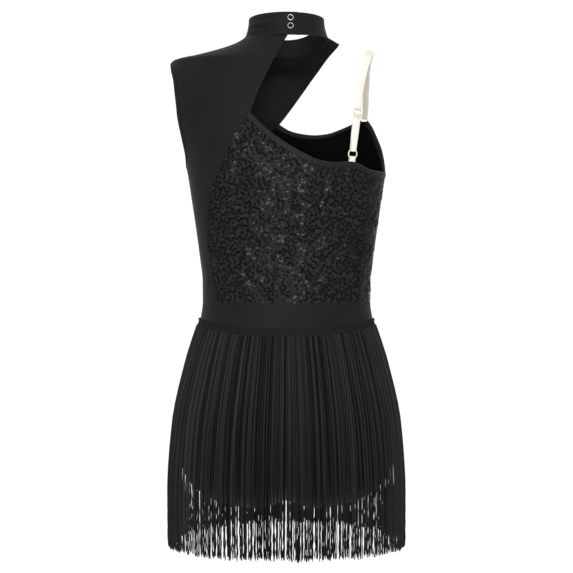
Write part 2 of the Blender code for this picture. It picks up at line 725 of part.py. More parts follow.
def strap(path, finish):
    """From the front corner over the shoulder, through the slider, round the ring and back up."""
    ring = path.length
    slider = ring - SLIDER_FROM_RING
    stations = [(SEAM_GAP + 1.0 + s, 0.0, STRAP_WIDTH) for s in np.linspace(0.0, slider - 10.0, 26)]
    rise = SLIDER_THICK + 2 * SEAM_GAP + STRAP_THICK
    for s in (-6.0, -4.4, -3.6, -2.8, -2.0, -1.2, -0.6, 0.6, 1.2, 2.0, 2.8, 3.6, 4.4, 6.0):
        over = smooth_step((4.1 - abs(s)) / 3.2)
        stations.append((slider + s, 2 * rise * over * 0.5, STRAP_WIDTH - 0.4))
    # Above the ring the outer layer moves out, turns round the wire and comes back inside it.
    crown = ring - RING_RADIUS
    middle = -LAYER / 2
    for share in np.linspace(0.15, 1.0, 7):
        ease = smooth_step(share)
        width = STRAP_WIDTH + (STRAP_AT_RING - STRAP_WIDTH) * ease ** 3
        stations.append((slider + 8.0 + (crown - slider - 8.0) * share, ease ** 4 * (TURN + middle), width))
    below = crown + RING_SAG
    for turn in np.radians((15, 45, 75, 105, 135, 165)):
        stations.append((below + TURN * math.sin(turn), middle + TURN * math.cos(turn), STRAP_AT_RING))
    for share in np.linspace(1.0, 0.15, 7):
        ease = smooth_step(share)
        width = STRAP_WIDTH + (STRAP_AT_RING - STRAP_WIDTH) * ease ** 3
        height = middle - (LAYER / 2 + ease ** 4 * (TURN - LAYER / 2))
        stations.append((slider + 8.0 + (crown - slider - 8.0) * share, height, width))
    for s in (6.0, 3.0, 0.0):
        height = -LAYER + smooth_step((5.0 - s) / 4.0) * (LAYER - SEAM_GAP)
        stations.append((slider + s, height, STRAP_WIDTH - 0.4))
    return band("shoulder_strap", path, stations, finish)


def strap_ring(path, finish):
    """The round ring that joins the strap to its tab, in the plane of the cloth."""
    point, along, across, out = path.frame(path.length)
    centre = point - out * LAYER / 2
    sections = []
    for turn in np.linspace(0.0, 2 * math.pi, 24, endpoint=False):
        way = math.cos(turn) * across + math.sin(turn) * along
        sections.append([
            centre + way * (RING_RADIUS + RING_WIRE * math.cos(a)) + out * RING_WIRE * math.sin(a)
            for a in np.linspace(0.0, 2 * math.pi, 8, endpoint=False)
        ])
    return swept("strap_ring", sections, finish, closed=True)


def strap_slider(path, finish):
    """The flat adjuster with three bars, which the strap is woven through."""
    point, along, across, out = path.frame(path.length - SLIDER_FROM_RING)
    centre = point + out * (SLIDER_THICK / 2 + SEAM_GAP + STRAP_THICK / 2)
    half_w, half_h, bar = SLIDER_WIDTH / 2, SLIDER_HEIGHT / 2, SLIDER_BAR
    xs = (-half_w, -half_w + bar, half_w - bar, half_w)
    zs = (-half_h, -half_h + bar, -0.55, 0.55, half_h - bar, half_h)
    points = [
        centre + across * x + along * z + out * side * SLIDER_THICK / 2
        for side in (-1, 1) for z in zs for x in xs
    ]
    solid_cells = [(c, r) for r in range(5) for c in range(3) if c != 1 or r in (0, 2, 4)]
    layer = len(xs) * len(zs)
    faces = []

    def corner(c, r, side):
        return side * layer + r * len(xs) + c

    for c, r in solid_cells:
        faces.append(tuple(corner(c + i, r + j, 1) for i, j in ((0, 0), (1, 0), (1, 1), (0, 1))))
        faces.append(tuple(corner(c + i, r + j, 0) for i, j in ((0, 0), (0, 1), (1, 1), (1, 0))))
        rims = (
            ((-1, 0), (0, 1), (0, 0)), ((1, 0), (1, 0), (1, 1)),
            ((0, -1), (0, 0), (1, 0)), ((0, 1), (1, 1), (0, 1)),
        )
        for (dc, dr), a, b in rims:
            if (c + dc, r + dr) not in solid_cells:
                faces.append((
                    corner(c + a[0], r + a[1], 0), corner(c + b[0], r + b[1], 0),
                    corner(c + b[0], r + b[1], 1), corner(c + a[0], r + a[1], 1),
                ))
    made = add_object("strap_slider", points, faces, finish, smooth=False)
    face_out(made)
    return made


def strap_tab(path, finish):
    """The short loop of strap that holds the ring, its ends sewn in at the neckline."""
    ring = path.length
    middle = -LAYER / 2
    foot = ring + TAB_REACH
    turn_at = ring + RING_RADIUS - RING_SAG
    stations = []
    for share in np.linspace(0.0, 1.0, 4):
        stations.append((foot + (ring + RING_RADIUS + 0.6 - foot) * share,
                         middle + LAYER / 2 + share ** 2 * (TURN - LAYER / 2), 9.0 - 1.8 * share))
    for turn in np.radians((15, 45, 75, 105, 135, 165)):
        stations.append((turn_at - TURN * math.sin(turn), middle + TURN * math.cos(turn), STRAP_AT_RING))
    for share in np.linspace(1.0, 0.0, 4):
        stations.append((foot + (ring + RING_RADIUS + 0.6 - foot) * share,
                         middle - LAYER / 2 - share ** 2 * (TURN - LAYER / 2), 9.0 - 1.8 * share))
    return band("strap_tab", path, stations, finish)


def clear_scene():
    for old in list(bpy.data.objects):
        bpy.data.objects.remove(old)


def main():
    clear_scene()
    stretch = material("black_stretch", (0.020, 0.020, 0.021), 0.62)
    sequins = material("black_sequin", (0.024, 0.023, 0.020), 0.45)
    fringe_yarn = material("black_fringe", (0.016, 0.016, 0.017), 0.55)
    elastic = material("nude_elastic", (0.86, 0.74, 0.62), 0.5)
    clear_plastic = material("cream_plastic", (0.85, 0.70, 0.52), 0.3)
    snap_metal = material("snap_metal", (0.80, 0.80, 0.82), 0.25, metallic=1.0)

    back_seam = line(BACK_SEAM, SEAM_ROWS, 1)
    back_cut = line(BACK_CUT, PANEL_ROWS - SEAM_ROWS, 1)
    back_top = level(0.0, back_cut[-1, 0], back_cut[-1, 1], SHOULDER_COLUMNS)
    back_top[:, 1] = 0.0
    back_cut[-1, 1] = 0.0
    main_panel("back_main_panel", 1, back_seam, back_top, back_cut, SHOULDER_COLUMNS, stretch)

    front_seam = line(FRONT_SEAM, SEAM_ROWS, -1)
    front_cut = line(FRONT_CUT, PANEL_ROWS - SEAM_ROWS - 1, -1)
    front_cut[-1, 0] = -math.pi
    neck_side = np.array([front_cut[-1], (-math.pi, 0.0)])
    front_top = level(0.0, -math.pi, 0.0, CHEST_COLUMNS)
    main_panel(
        "front_main_panel", -1, front_seam, front_top, joined(front_cut, neck_side), CHEST_COLUMNS, stretch
    )

    back_neckline = line(BACK_NECKLINE, SEQUIN_COLUMNS, 1)
    back_neckline[-1] = (math.pi, run_at(UNDERARM_RIGHT))
    panel = sequin_panel("back_sequin_panel", 1, back_seam, back_neckline, sequins)
    binding("back_neck_binding", panel, (0, SEQUIN_COLUMNS), stretch, ends=(0.4, 0.2))

    corner = [*FRONT_NECKLINE[-1:], FRONT_STRAP_CORNER]
    front_neckline = line(FRONT_NECKLINE, 8, -1)
    strap_seat = line(corner, 1, -1)
    arm_edge = line(RIGHT_ARM_EDGE, SEQUIN_COLUMNS - 9, -1)
    arm_edge[-1] = (-math.pi, run_at(UNDERARM_RIGHT))
    front_top_edge = joined(front_neckline, strap_seat, arm_edge)
    panel = sequin_panel("front_sequin_panel", -1, front_seam, front_top_edge, sequins)
    binding("front_neck_binding", panel, (0, 8), stretch, ends=(0.4, 1.0))
    binding("front_arm_binding", panel, (9, SEQUIN_COLUMNS), stretch, ends=(1.0, 0.2))

    collar(stretch)
    for name, share in zip(("collar_snap_lower", "collar_snap_upper"), SNAP_HEIGHTS):
        collar_snap(name, share, snap_metal)

    fringe(fringe_yarn)

    path = StrapPath()
    strap(path, elastic)
    strap_ring(path, clear_plastic)
    strap_slider(path, clear_plastic)
    strap_tab(path, elastic)


main()
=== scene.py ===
"""The looks of the latin dance leotard: knit cloth, sequins, bindings, fastenings and fringe.

Tables are in millimetres, as in the part's own source, and MM turns them into metres.
The wearer faces -Y, the wearer's left is +X, and the origin is the middle of the neck.
"""

import math

import bmesh
import bpy
import numpy as np
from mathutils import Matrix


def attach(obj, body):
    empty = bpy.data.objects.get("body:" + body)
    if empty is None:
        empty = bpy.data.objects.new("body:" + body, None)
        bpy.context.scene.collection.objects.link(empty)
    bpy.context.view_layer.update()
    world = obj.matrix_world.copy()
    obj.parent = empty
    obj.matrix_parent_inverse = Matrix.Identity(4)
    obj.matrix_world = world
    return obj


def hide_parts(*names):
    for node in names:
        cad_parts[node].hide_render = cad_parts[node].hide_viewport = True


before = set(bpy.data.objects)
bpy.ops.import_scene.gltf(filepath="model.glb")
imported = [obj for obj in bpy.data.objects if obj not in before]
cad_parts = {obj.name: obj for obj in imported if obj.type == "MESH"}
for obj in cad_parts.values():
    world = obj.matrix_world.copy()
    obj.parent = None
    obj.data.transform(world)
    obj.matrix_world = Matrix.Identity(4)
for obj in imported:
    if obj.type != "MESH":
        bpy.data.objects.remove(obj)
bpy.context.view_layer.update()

MM = 0.001
FINE = 4

# The filled figure, one row for each level.
# height, half width, depth to the back, depth to the front, share of the neckline's slant, lift of the crotch
FIGURE = np.array([
    (4, 51.5, 48, 48, 1, 0),
    (-0.5, 58, 50.5, 50.5, 0.97, 0),
    (-4.6, 66, 53, 53, 0.93, 0),
    (-8.3, 76, 56, 56, 0.88, 0),
    (-12, 88, 59, 59, 0.81, 0),
    (-16, 103, 62.5, 62.5, 0.73, 0),
    (-19.6, 118, 66, 65.5, 0.64, 0),
    (-22.8, 134, 69, 68, 0.56, 0),
    (-26, 142.5, 71, 69.5, 0.52, 0),
    (-32, 146, 73.5, 72, 0.45, 0),
    (-42, 149.5, 76, 74.5, 0.37, 0),
    (-60, 151.5, 79.5, 78.5, 0.26, 0),
    (-90, 149, 84, 84, 0.1, 0),
    (-120, 139, 86.5, 88, 0.04, 0),
    (-145, 128.5, 87, 90.5, 0, 0),
    (-168, 123, 86, 91, 0, 0),
    (-200, 118, 83.5, 89, 0, 0),
    (-240, 112, 80, 85, 0, 0),
    (-270, 108, 78, 81.5, 0, 0),
    (-300, 104.6, 76.5, 79, 0, 0),
    (-325, 104.4, 77, 78.5, 0, 0),
    (-345, 107, 80.5, 80, 0, 0),
    (-375, 112, 86, 82.5, 0, 0),
    (-410, 120.5, 92, 85, 0, 0),
    (-450, 129, 97, 88, 0, 0),
    (-490, 133.5, 99, 88.5, 0, 0),
    (-520, 134, 97, 86, 0, 1),
    (-542, 129, 91, 80, 0, 3),
    (-560, 114, 79, 68, 0, 6),
    (-573, 88, 60, 51, 0, 9),
    (-580, 54, 37, 31, 0, 11),
    (-582, 22, 15, 13, 0, 12),
    (-582.2, 0, 0, 0, 0, 12),
])
SQUARENESS = 2.2
CROTCH_GROOVE = 20.0
NECK_DROP = 20.6
NECK_DROP_POWER = 1.6
WAIST = -325.0
UNDERARM_LEFT = -160.0
UNDERARM_RIGHT = -167.0
SHOULDER_TIP = -28.0
NECK_SEAM = 4.0

# The armhole's edge on each side of the shoulder: height, degrees round from the side.
ARMHOLE_EDGE = [
    (-160, 0), (-153, 9), (-138, 16.5), (-115, 23), (-85, 26.5),
    (-58, 25), (-41, 18.5), (-32, 10), (-28, 0),
]

# Pattern lines as they look square on: place across (wearer's left is plus), height.
BACK_SEAM = [
    (81, -325), (85.5, -320), (88.8, -307), (91.3, -288), (93.7, -269), (96.2, -250),
    (96.2, -223), (94.9, -204.5), (92.4, -188.5), (86.7, -172), (79.8, -155), (72.3, -140),
    (66, -127), (57.9, -113.5), (49.2, -101.5), (44.8, -95.5),
]
BACK_CUT = [
    (44.8, -95.5), (41.1, -84), (37.3, -73.5), (27.7, -52.6), (19.4, -35.3), (11.5, -19.5), (4.3, -6),
    (-1.5, 4),
]
BACK_NECKLINE = [
    (44.8, -95.5), (33, -107.7), (21, -118.4), (3, -131.7), (-20, -145), (-41.6, -154),
    (-58.6, -156), (-75.5, -155), (-85.5, -156.6), (-94.5, -160.6), (-102, -163.8),
    (-113, -165.8), (-123.1, -167),
]
FRONT_SEAM = [
    (74, -325), (80, -319), (86, -300), (89.5, -270), (90, -240),
    (86.5, -210), (77, -180), (60, -149), (36, -121.5), (10.5, -100.5),
]
FRONT_CUT = [
    (10.5, -100.5), (-3, -83.3), (-19.4, -60.9), (-38.9, -34.2), (-53.2, -16.7), (-66, -4.6),
]
FRONT_NECKLINE = [
    (10.5, -100.5), (-3, -108.6), (-19.4, -112.9), (-36, -114.6), (-52.4, -113.1), (-68.8, -107.8),
    (-85, -101.2), (-95.5, -96.6),
]
FRONT_STRAP_CORNER = (-104, -97)
RIGHT_ARM_EDGE = [
    (-104, -97), (-109.5, -105.5), (-113.6, -115), (-117.8, -126), (-120.8, -136), (-122.8, -150),
    (-123.4, -160), (-123.1, -167),
]
CROTCH_HALF_WIDTH = 32.0
LEG_TOP = -508.0
LEG_BACK_REACH = 54.0
LEG_FRONT_REACH = 74.0

# Rows and columns of the cloth grids.
SIDE_ROWS = 9 * FINE
ARMHOLE_ROWS = 7 * FINE
RIDGE_ROWS = 6 * FINE
PANEL_ROWS = SIDE_ROWS + ARMHOLE_ROWS + RIDGE_ROWS
SEAM_ROWS = 12 * FINE
SHOULDER_COLUMNS = 8 * FINE
CHEST_COLUMNS = 11 * FINE
SEQUIN_COLUMNS = 14 * FINE
BRIEF_SIDE_ROWS = 5 * FINE
BRIEF_LEG_ROWS = 7 * FINE

CLOTH = 0.9
SEQUIN_GROUND = 0.5
GROUND_DROP = 0.55
LINING = 0.4
SEQUIN_STACK = 1.5
CREASE_DEPTH = 0.55
UV_TURN = 0.02


def hermite(knots, values, at):
    """A smooth curve through the values with no overshoot between them."""
    knots, values = np.asarray(knots, float), np.asarray(values, float)
    at = np.clip(np.asarray(at, float), knots[0], knots[-1])
    gaps = np.diff(knots)
    slopes = np.diff(values) / gaps
    before, after = slopes[:-1], slopes[1:]
    same_way = before * after > 0
    inner = np.where(same_way, 2 * before * after / np.where(same_way, before + after, 1.0), 0.0)
    tangents = np.concatenate([slopes[:1], inner, slopes[-1:]])
    i = np.clip(np.searchsorted(knots, at, side="right") - 1, 0, len(gaps) - 1)
    t = (at - knots[i]) / gaps[i]
    return (
        (1 + 2 * t) * (1 - t) ** 2 * values[i]
        + t * (1 - t) ** 2 * gaps[i] * tangents[i]
        + t * t * (3 - 2 * t) * values[i + 1]
        + t * t * (t - 1) * gaps[i] * tangents[i + 1]
    )


def smoothed(knots, rows, at):
    return np.stack([hermite(knots, rows[:, k], at) for k in range(rows.shape[1])], axis=-1)


def between(steps, rows, at):
    """The row at a distance along a line, from the rows at its steps."""
    return np.array([np.interp(at, steps, rows[:, k]) for k in range(3)])


def unit(vectors):
    return vectors / np.linalg.norm(vectors, axis=-1, keepdims=True)


def smooth_step(value):
    value = np.clip(value, 0.0, 1.0)
    return value * value * (3 - 2 * value)


def circle(count):
    return np.linspace(0.0, 2 * math.pi, count, endpoint=False)


SIDE_STEPS = np.hypot(np.diff(FIGURE[:, 0]), np.diff(FIGURE[:, 1]))
RUN = np.concatenate([[0.0], np.cumsum(SIDE_STEPS)])
WHOLE_RUN = RUN[-1]
FINE_RUN = np.linspace(0.0, WHOLE_RUN, 2400)
FINE_HEIGHT, FINE_WIDE, FINE_SHARE = (hermite(RUN, FIGURE[:, k], FINE_RUN) for k in (0, 1, 4))


def run_at(height):
    """How far down the side a level of the figure lies."""
    return np.interp(-np.asarray(height, float), -FINE_HEIGHT, FINE_RUN)


def powered(value):
    return np.sign(value) * np.abs(value) ** (2 / SQUARENESS)


def slant(angle):
    return -NECK_DROP * np.maximum(-np.sin(angle), 0.0) ** NECK_DROP_POWER


def figure(angle, run):
    """Points on the figure. The angle is 0 at the wearer's left, a quarter turn at the back."""
    angle, run = np.broadcast_arrays(np.asarray(angle, float), np.asarray(run, float))
    height, wide, back, front, share, lift = (hermite(RUN, FIGURE[:, k], run) for k in range(6))
    depth = np.where(np.sin(angle) >= 0, back, front)
    x = wide * powered(np.cos(angle))
    y = depth * powered(np.sin(angle))
    z = height + share * slant(angle) + lift * np.exp(-((x / CROTCH_GROOVE) ** 2))
    return np.stack([x, y, z], axis=-1)


def to_polar(angle, run):
    """The cloth round the crotch laid flat: distance from the crotch, turned by the angle."""
    reach = WHOLE_RUN - np.asarray(run, float)
    return np.stack([reach * np.cos(angle), reach * np.sin(angle)], axis=-1)


def from_polar(flat):
    reach = np.maximum(np.hypot(flat[..., 0], flat[..., 1]), 0.4)
    return np.arctan2(flat[..., 1], flat[..., 0]), WHOLE_RUN - reach


def outward(angle, run):
    """Unit normals of the figure, from its slopes either way over the flat cloth."""
    flat = to_polar(np.asarray(angle, float), run)
    across = figure(*from_polar(flat + (0.5, 0))) - figure(*from_polar(flat - (0.5, 0)))
    back = figure(*from_polar(flat + (0, 0.5))) - figure(*from_polar(flat - (0, 0.5)))
    return unit(np.cross(back, across))


def place(across, height, side):
    """The (angle, run) of a point seen square on, on the back (side +1) or the front (-1)."""
    share = np.minimum(abs(across) / np.maximum(FINE_WIDE, 1.0), 1.0)
    angles = side * np.arccos(np.copysign(share ** (SQUARENESS / 2), across))
    drops = np.maximum.accumulate(-FINE_HEIGHT - FINE_SHARE * slant(angles))
    run = float(np.interp(-height, drops, FINE_RUN))
    return float(np.interp(run, FINE_RUN, angles)), run


def steps_along(points):
    return np.concatenate([[0.0], np.cumsum(np.linalg.norm(np.diff(points, axis=0), axis=1))])


def line(points, count, side=None):
    """A pattern line through the points, as count + 1 even (angle, run) stations."""
    points = np.array(points, float)
    if side is not None:
        steps = steps_along(points)
        spots = smoothed(steps, points, np.linspace(0.0, steps[-1], 80))
        points = np.array([place(x, z, side) for x, z in spots])
    along = steps_along(figure(*points.T))
    return smoothed(along, points, np.linspace(0.0, along[-1], count + 1))


def joined(*lines):
    """Several pattern lines as one, each starting where the last one ended."""
    return np.concatenate([lines[0], *(part[1:] for part in lines[1:])])


def coons(bottom, top, left, right):
    """A grid between four edges. Rows go from bottom to top and columns from left to right."""
    u = np.linspace(0.0, 1.0, len(bottom))[None, :, None]
    v = np.linspace(0.0, 1.0, len(left))[:, None, None]
    ruled = (1 - v) * bottom[None] + v * top[None] + (1 - u) * left[:, None] + u * right[:, None]
    corners = (
        (1 - u) * (1 - v) * bottom[0] + u * (1 - v) * bottom[-1]
        + (1 - u) * v * top[0] + u * v * top[-1]
    )
    return ruled - corners


def side_line(angle, top, bottom, count):
    """Stations straight up the figure at one angle, from the bottom level to the top one."""
    runs = np.linspace(run_at(bottom), run_at(top), count + 1)
    return np.stack([np.full(count + 1, angle), runs], axis=-1)


def level(start, end, run, count):
    """Stations round the figure at one level."""
    share = np.linspace(0.0, 1.0, count + 1)
    return np.stack([start + (end - start) * share, np.full(count + 1, run)], axis=-1)


# Soft creases pressed into the cloth of each side. A row has three points seen square on, the width
# and the depth; ridges are plus.
CREASES = {
    1: [
        (133, -50, 124, -84, 115, -112, 6, 1),
        (128, -52, 117, -86, 108, -110, 5, -0.8),
        (131, -56, 125, -84, 116, -114, 2.4, 1.3),
        (127, -60, 120, -88, 113, -110, 2.2, -1.1),
        (122, -78, 114, -104, 110, -130, 2.6, 0.9),
        (119, -120, 108, -150, 104, -175, 6.5, 0.7),
        (62, -14, 72, -42, 76, -74, 9, 0.7),
        (40, -6, 44, -34, 52, -62, 8, -0.6),
        (102, -268, 97, -292, 99, -318, 5, 0.9),
        (97, -272, 92, -300, 93, -322, 4, -0.7),
        (90, -329, 94, -338, 93, -348, 5, 0.7),
        (60, -331, 40, -336, 12, -334, 5, 0.45),
        (-30, -333, -58, -337, -86, -331, 5.5, 0.5),
        (-96, -328, -99, -340, -104, -352, 5, 0.7),
        (104, -184, 101, -214, 103, -240, 6, 0.6),
        (-60, -185, -84, -200, -108, -206, 9, 0.7),
        (-50, -262, -80, -272, -104, -268, 9, 0.8),
        (70, -300, 30, -309, -12, -305, 9, 0.7),
        (30, -168, 2, -186, -26, -190, 10, 0.6),
        (50, -420, 20, -470, 4, -540, 12, 1.2),
        (-46, -430, -20, -480, -6, -544, 11, 1),
    ],
    -1: [
        (134, -52, 126, -86, 117, -116, 6, 1),
        (128, -56, 118, -90, 110, -112, 5, -0.8),
        (116, -128, 108, -156, 96, -176, 7, 0.8),
        (56, -18, 70, -50, 84, -78, 9, 0.8),
        (34, -24, 38, -54, 48, -80, 8, -0.6),
        (-20, -44, 4, -60, 26, -66, 9, 0.6),
        (98, -262, 96, -290, 98, -318, 5.5, 0.9),
        (94, -270, 90, -298, 91, -320, 4.5, -0.7),
        (70, -332, 36, -338, 0, -334, 5.5, 0.5),
        (-20, -334, -56, -338, -92, -332, 5.5, 0.5),
        (-50, -170, -80, -196, -108, -204, 9, 0.8),
        (-40, -258, -76, -270, -102, -262, 9, 0.8),
        (60, -296, 20, -306, -24, -301, 9, 0.7),
        (40, -430, 16, -480, 4, -540, 11, 1),
        (-40, -424, -18, -476, -6, -538, 12, 1.1),
    ],
}
CREASE_STEPS = 24


def crease_lines():
    fade = np.sin(np.linspace(0.0, math.pi, CREASE_STEPS + 1)) ** 0.8
    for side, creases in CREASES.items():
        for *spots, width, depth in creases:
            stations = line(np.reshape(spots, (3, 2)), CREASE_STEPS, side)
            yield figure(*stations.T), fade * depth * CREASE_DEPTH, width


CREASE_LINES = list(crease_lines())


def relief(points):
    """How far the creases lift or press each point of the cloth."""
    flat = points.reshape(-1, 3)
    lift = np.zeros(len(flat))
    for spots, depths, width in CREASE_LINES:
        near = np.all((flat > spots.min(0) - 3 * width) & (flat < spots.max(0) + 3 * width), axis=1)
        if not near.any():
            continue
        apart = ((flat[near][:, None] - spots[None]) ** 2).sum(axis=2)
        best = apart.argmin(axis=1)
        lift[near] += depths[best] * np.exp(-apart[np.arange(len(best)), best] / width ** 2)
    return lift.reshape(points.shape[:-1])


class Cloth:
    """A grid of cloth on the figure: its (angle, run) stations, outer points and normals."""

    def __init__(self, stations, drop=0.0):
        self.stations = stations
        turns, runs = np.moveaxis(stations, -1, 0)
        self.normals = outward(turns, runs)
        points = figure(turns, runs)
        self.points = points + self.normals * (relief(points) - drop)[..., None]

    def rows_from(self, edge, first=0, last=None):
        """Points and normals as rows going in from an edge, over a range of its stations."""
        made = []
        for grid in (self.points, self.normals):
            if edge in ("left", "right"):
                grid = np.swapaxes(grid, 0, 1)
            made.append(grid[:: -1 if edge in ("top", "right") else 1, first:last])
        return made


# Meshes. A finish is a material and the name of the CAD's slot that it stands for.

def link(name, data):
    made = bpy.data.objects.new(name, data)
    bpy.context.scene.collection.objects.link(made)
    return made


def add_piece(name, mesh, replaces):
    made = link(name, mesh)
    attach(made, "root")
    if replaces:
        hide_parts(replaces)
    return made


def add_mesh(name, points, faces, finish, replaces=None, smooth=True, uv=None):
    """A piece from points in millimetres, with its faces turned outward."""
    mesh = bpy.data.meshes.new(name)
    mesh.from_pydata((np.asarray(points, float) * MM).tolist(), [], faces)
    mesh.materials.append(finish[0])
    if uv is not None:
        corners = np.zeros(len(mesh.loops), np.int32)
        mesh.loops.foreach_get("vertex_index", corners)
        layer = mesh.uv_layers.new(name="UVMap")
        layer.data.foreach_set("uv", np.asarray(uv, np.float32)[corners].ravel())
    if smooth:
        mesh.shade_smooth()
        mesh.set_sharp_from_angle(angle=math.radians(50))
    skin = bmesh.new()
    skin.from_mesh(mesh)
    bmesh.ops.recalc_face_normals(skin, faces=skin.faces)
    skin.to_mesh(mesh)
    skin.free()
    return add_piece(name, mesh, replaces)


def shell(name, cloths, thickness, finish, replaces=None):
    """A thin closed shell of cloth, from grids that join where their points meet."""
    outer, inner, uv, faces, found = [], [], [], [], {}
    for cloth in cloths:
        rows, columns = cloth.points.shape[:2]
        corner = np.zeros((rows, columns), int)
        for at in np.ndindex(rows, columns):
            point = cloth.points[at]
            corner[at] = found.setdefault(tuple(np.round(point, 3)), len(outer))
            if corner[at] == len(outer):
                outer.append(point)
                inner.append(point - cloth.normals[at] * thickness)
                uv.append(cloth.stations[at] * (0.1, 0.001))
        for r, c in np.ndindex(rows - 1, columns - 1):
            around = (corner[r, c], corner[r, c + 1], corner[r + 1, c + 1], corner[r + 1, c])
            faces.append(tuple(int(i) for i in dict.fromkeys(around)))
    count = len(outer)
    edges = {(a, b) for face in faces for a, b in zip(face, face[1:] + face[:1])}
    rim = [(b, a, a + count, b + count) for a, b in sorted(edges) if (b, a) not in edges]
    back = [tuple(i + count for i in face[::-1]) for face in faces]
    return add_mesh(name, outer + inner, faces + back + rim, finish, replaces, uv=uv + uv)


def swept_faces(count, sides, closed, start=0):
    faces = []
    for i in range(count if closed else count - 1):
        here, there = start + i * sides, start + (i + 1) % count * sides
        for k in range(sides):
            n = (k + 1) % sides
            faces.append((here + k, here + n, there + n, there + k))
    if not closed:
        faces.append(tuple(range(start, start + sides))[::-1])
        faces.append(tuple(range(start + (count - 1) * sides, start + count * sides)))
    return faces


def swept(name, sections, finish, closed=False, replaces=None):
    """A solid through cross-sections that all have the same number of points."""
    sections = np.asarray(sections, float)
    count, sides = sections.shape[:2]
    along = steps_along(sections.mean(axis=1)) * MM
    uv = np.stack(np.broadcast_arrays(np.linspace(0.0, UV_TURN, sides), along[:, None]), axis=-1)
    faces = swept_faces(count, sides, closed)
    return add_mesh(name, sections.reshape(-1, 3), faces, finish, replaces, uv=uv.reshape(-1, 2))


def ribbon_outline(middle, thick):
    """A closed outline round a flat middle line, with round ends."""
    way = unit(np.gradient(middle, axis=0)) * thick / 2
    side = np.stack([-way[:, 1], way[:, 0]], axis=1)
    turns = np.linspace(0.0, math.pi, 5)[1:-1, None]
    last = middle[-1] + side[-1] * np.cos(turns) + way[-1] * np.sin(turns)
    first = middle[0] - side[0] * np.cos(turns) - way[0] * np.sin(turns)
    return np.concatenate([middle + side, last, (middle - side)[::-1], first])


def inward(rows, normals, profile):
    """Cross-sections from (reach in from the edge, height off the cloth) pairs, at each edge station."""
    sections = []
    for spots, outs in zip(np.swapaxes(rows, 0, 1), np.swapaxes(normals, 0, 1)):
        steps, past = steps_along(spots), unit(spots[0] - spots[1])
        sections.append([
            between(steps, spots, reach) + past * max(-reach, 0.0) + between(steps, outs, reach) * height
            for reach, height in profile
        ])
    return np.array(sections)


def edge_strip(name, rows, normals, width, thick, cloth_thick, finish, clear=0.03, replaces=None):
    """A hem or binding folded over an edge of the cloth: outer leaf, fold and inner leaf."""
    high = clear + thick / 2
    radius = cloth_thick / 2 + high
    leaf = np.linspace(width, 0.0, 6)
    turns = np.radians(np.linspace(90, -90, 7))[1:-1]
    middle = np.concatenate([
        np.stack([leaf, np.full(6, high)], axis=1),
        np.stack([-radius * np.cos(turns), -cloth_thick / 2 + radius * np.sin(turns)], axis=1),
        np.stack([leaf[::-1], np.full(6, -cloth_thick - high)], axis=1),
    ])
    return swept(name, inward(rows, normals, ribbon_outline(middle, thick)), finish, replaces=replaces)


def allowance(name, rows, normals, cloth_thick, width, thick):
    """The overlocked edges of a seam, pressed to one side inside the cloth."""
    near, far = -cloth_thick - 0.06, -cloth_thick - 0.06 - thick
    outline = [(-1.0, near), (width, near), (width + 0.2, (near + far) / 2), (width, far), (-1.0, far)]
    return swept(name, inward(rows, normals, outline), STRETCH)


# One stitch: share along it, share of its thickness, lift.
STITCH = ((0.0, 0.35, -0.18), (0.12, 0.85, 0.0), (0.5, 1.0, 0.08), (0.88, 0.85, 0.0), (1.0, 0.35, -0.18))
STITCH_SIDES = 5
STITCH_RADIUS = 0.21


class Stitches:
    """Many stitches gathered into one mesh."""

    def __init__(self, name):
        self.name, self.points, self.faces = name, [], []

    def row(self, rows, normals, reach, height, length=2.6, gap=0.9):
        """A row of stitches along an edge, a distance in from it."""
        spots = inward(rows, normals, [(reach, height)])[:, 0]
        outs = inward(rows, normals, [(reach, height + 1.0)])[:, 0] - spots
        steps = steps_along(spots)
        start = gap / 2
        while start + length < steps[-1]:
            self.faces += swept_faces(len(STITCH), STITCH_SIDES, False, len(self.points))
            for share, wide, lift in STITCH:
                at = start + length * share
                way = between(steps, spots, at + 0.3) - between(steps, spots, at - 0.3)
                out = unit(between(steps, outs, at))
                across = unit(np.cross(out, way))
                middle = between(steps, spots, at) + out * lift
                for turn in circle(STITCH_SIDES):
                    off = across * math.cos(turn) + out * math.sin(turn)
                    self.points.append(middle + off * STITCH_RADIUS * wide)
            start += length + gap

    def made(self):
        return add_mesh(self.name, self.points, self.faces, THREAD)


# Materials

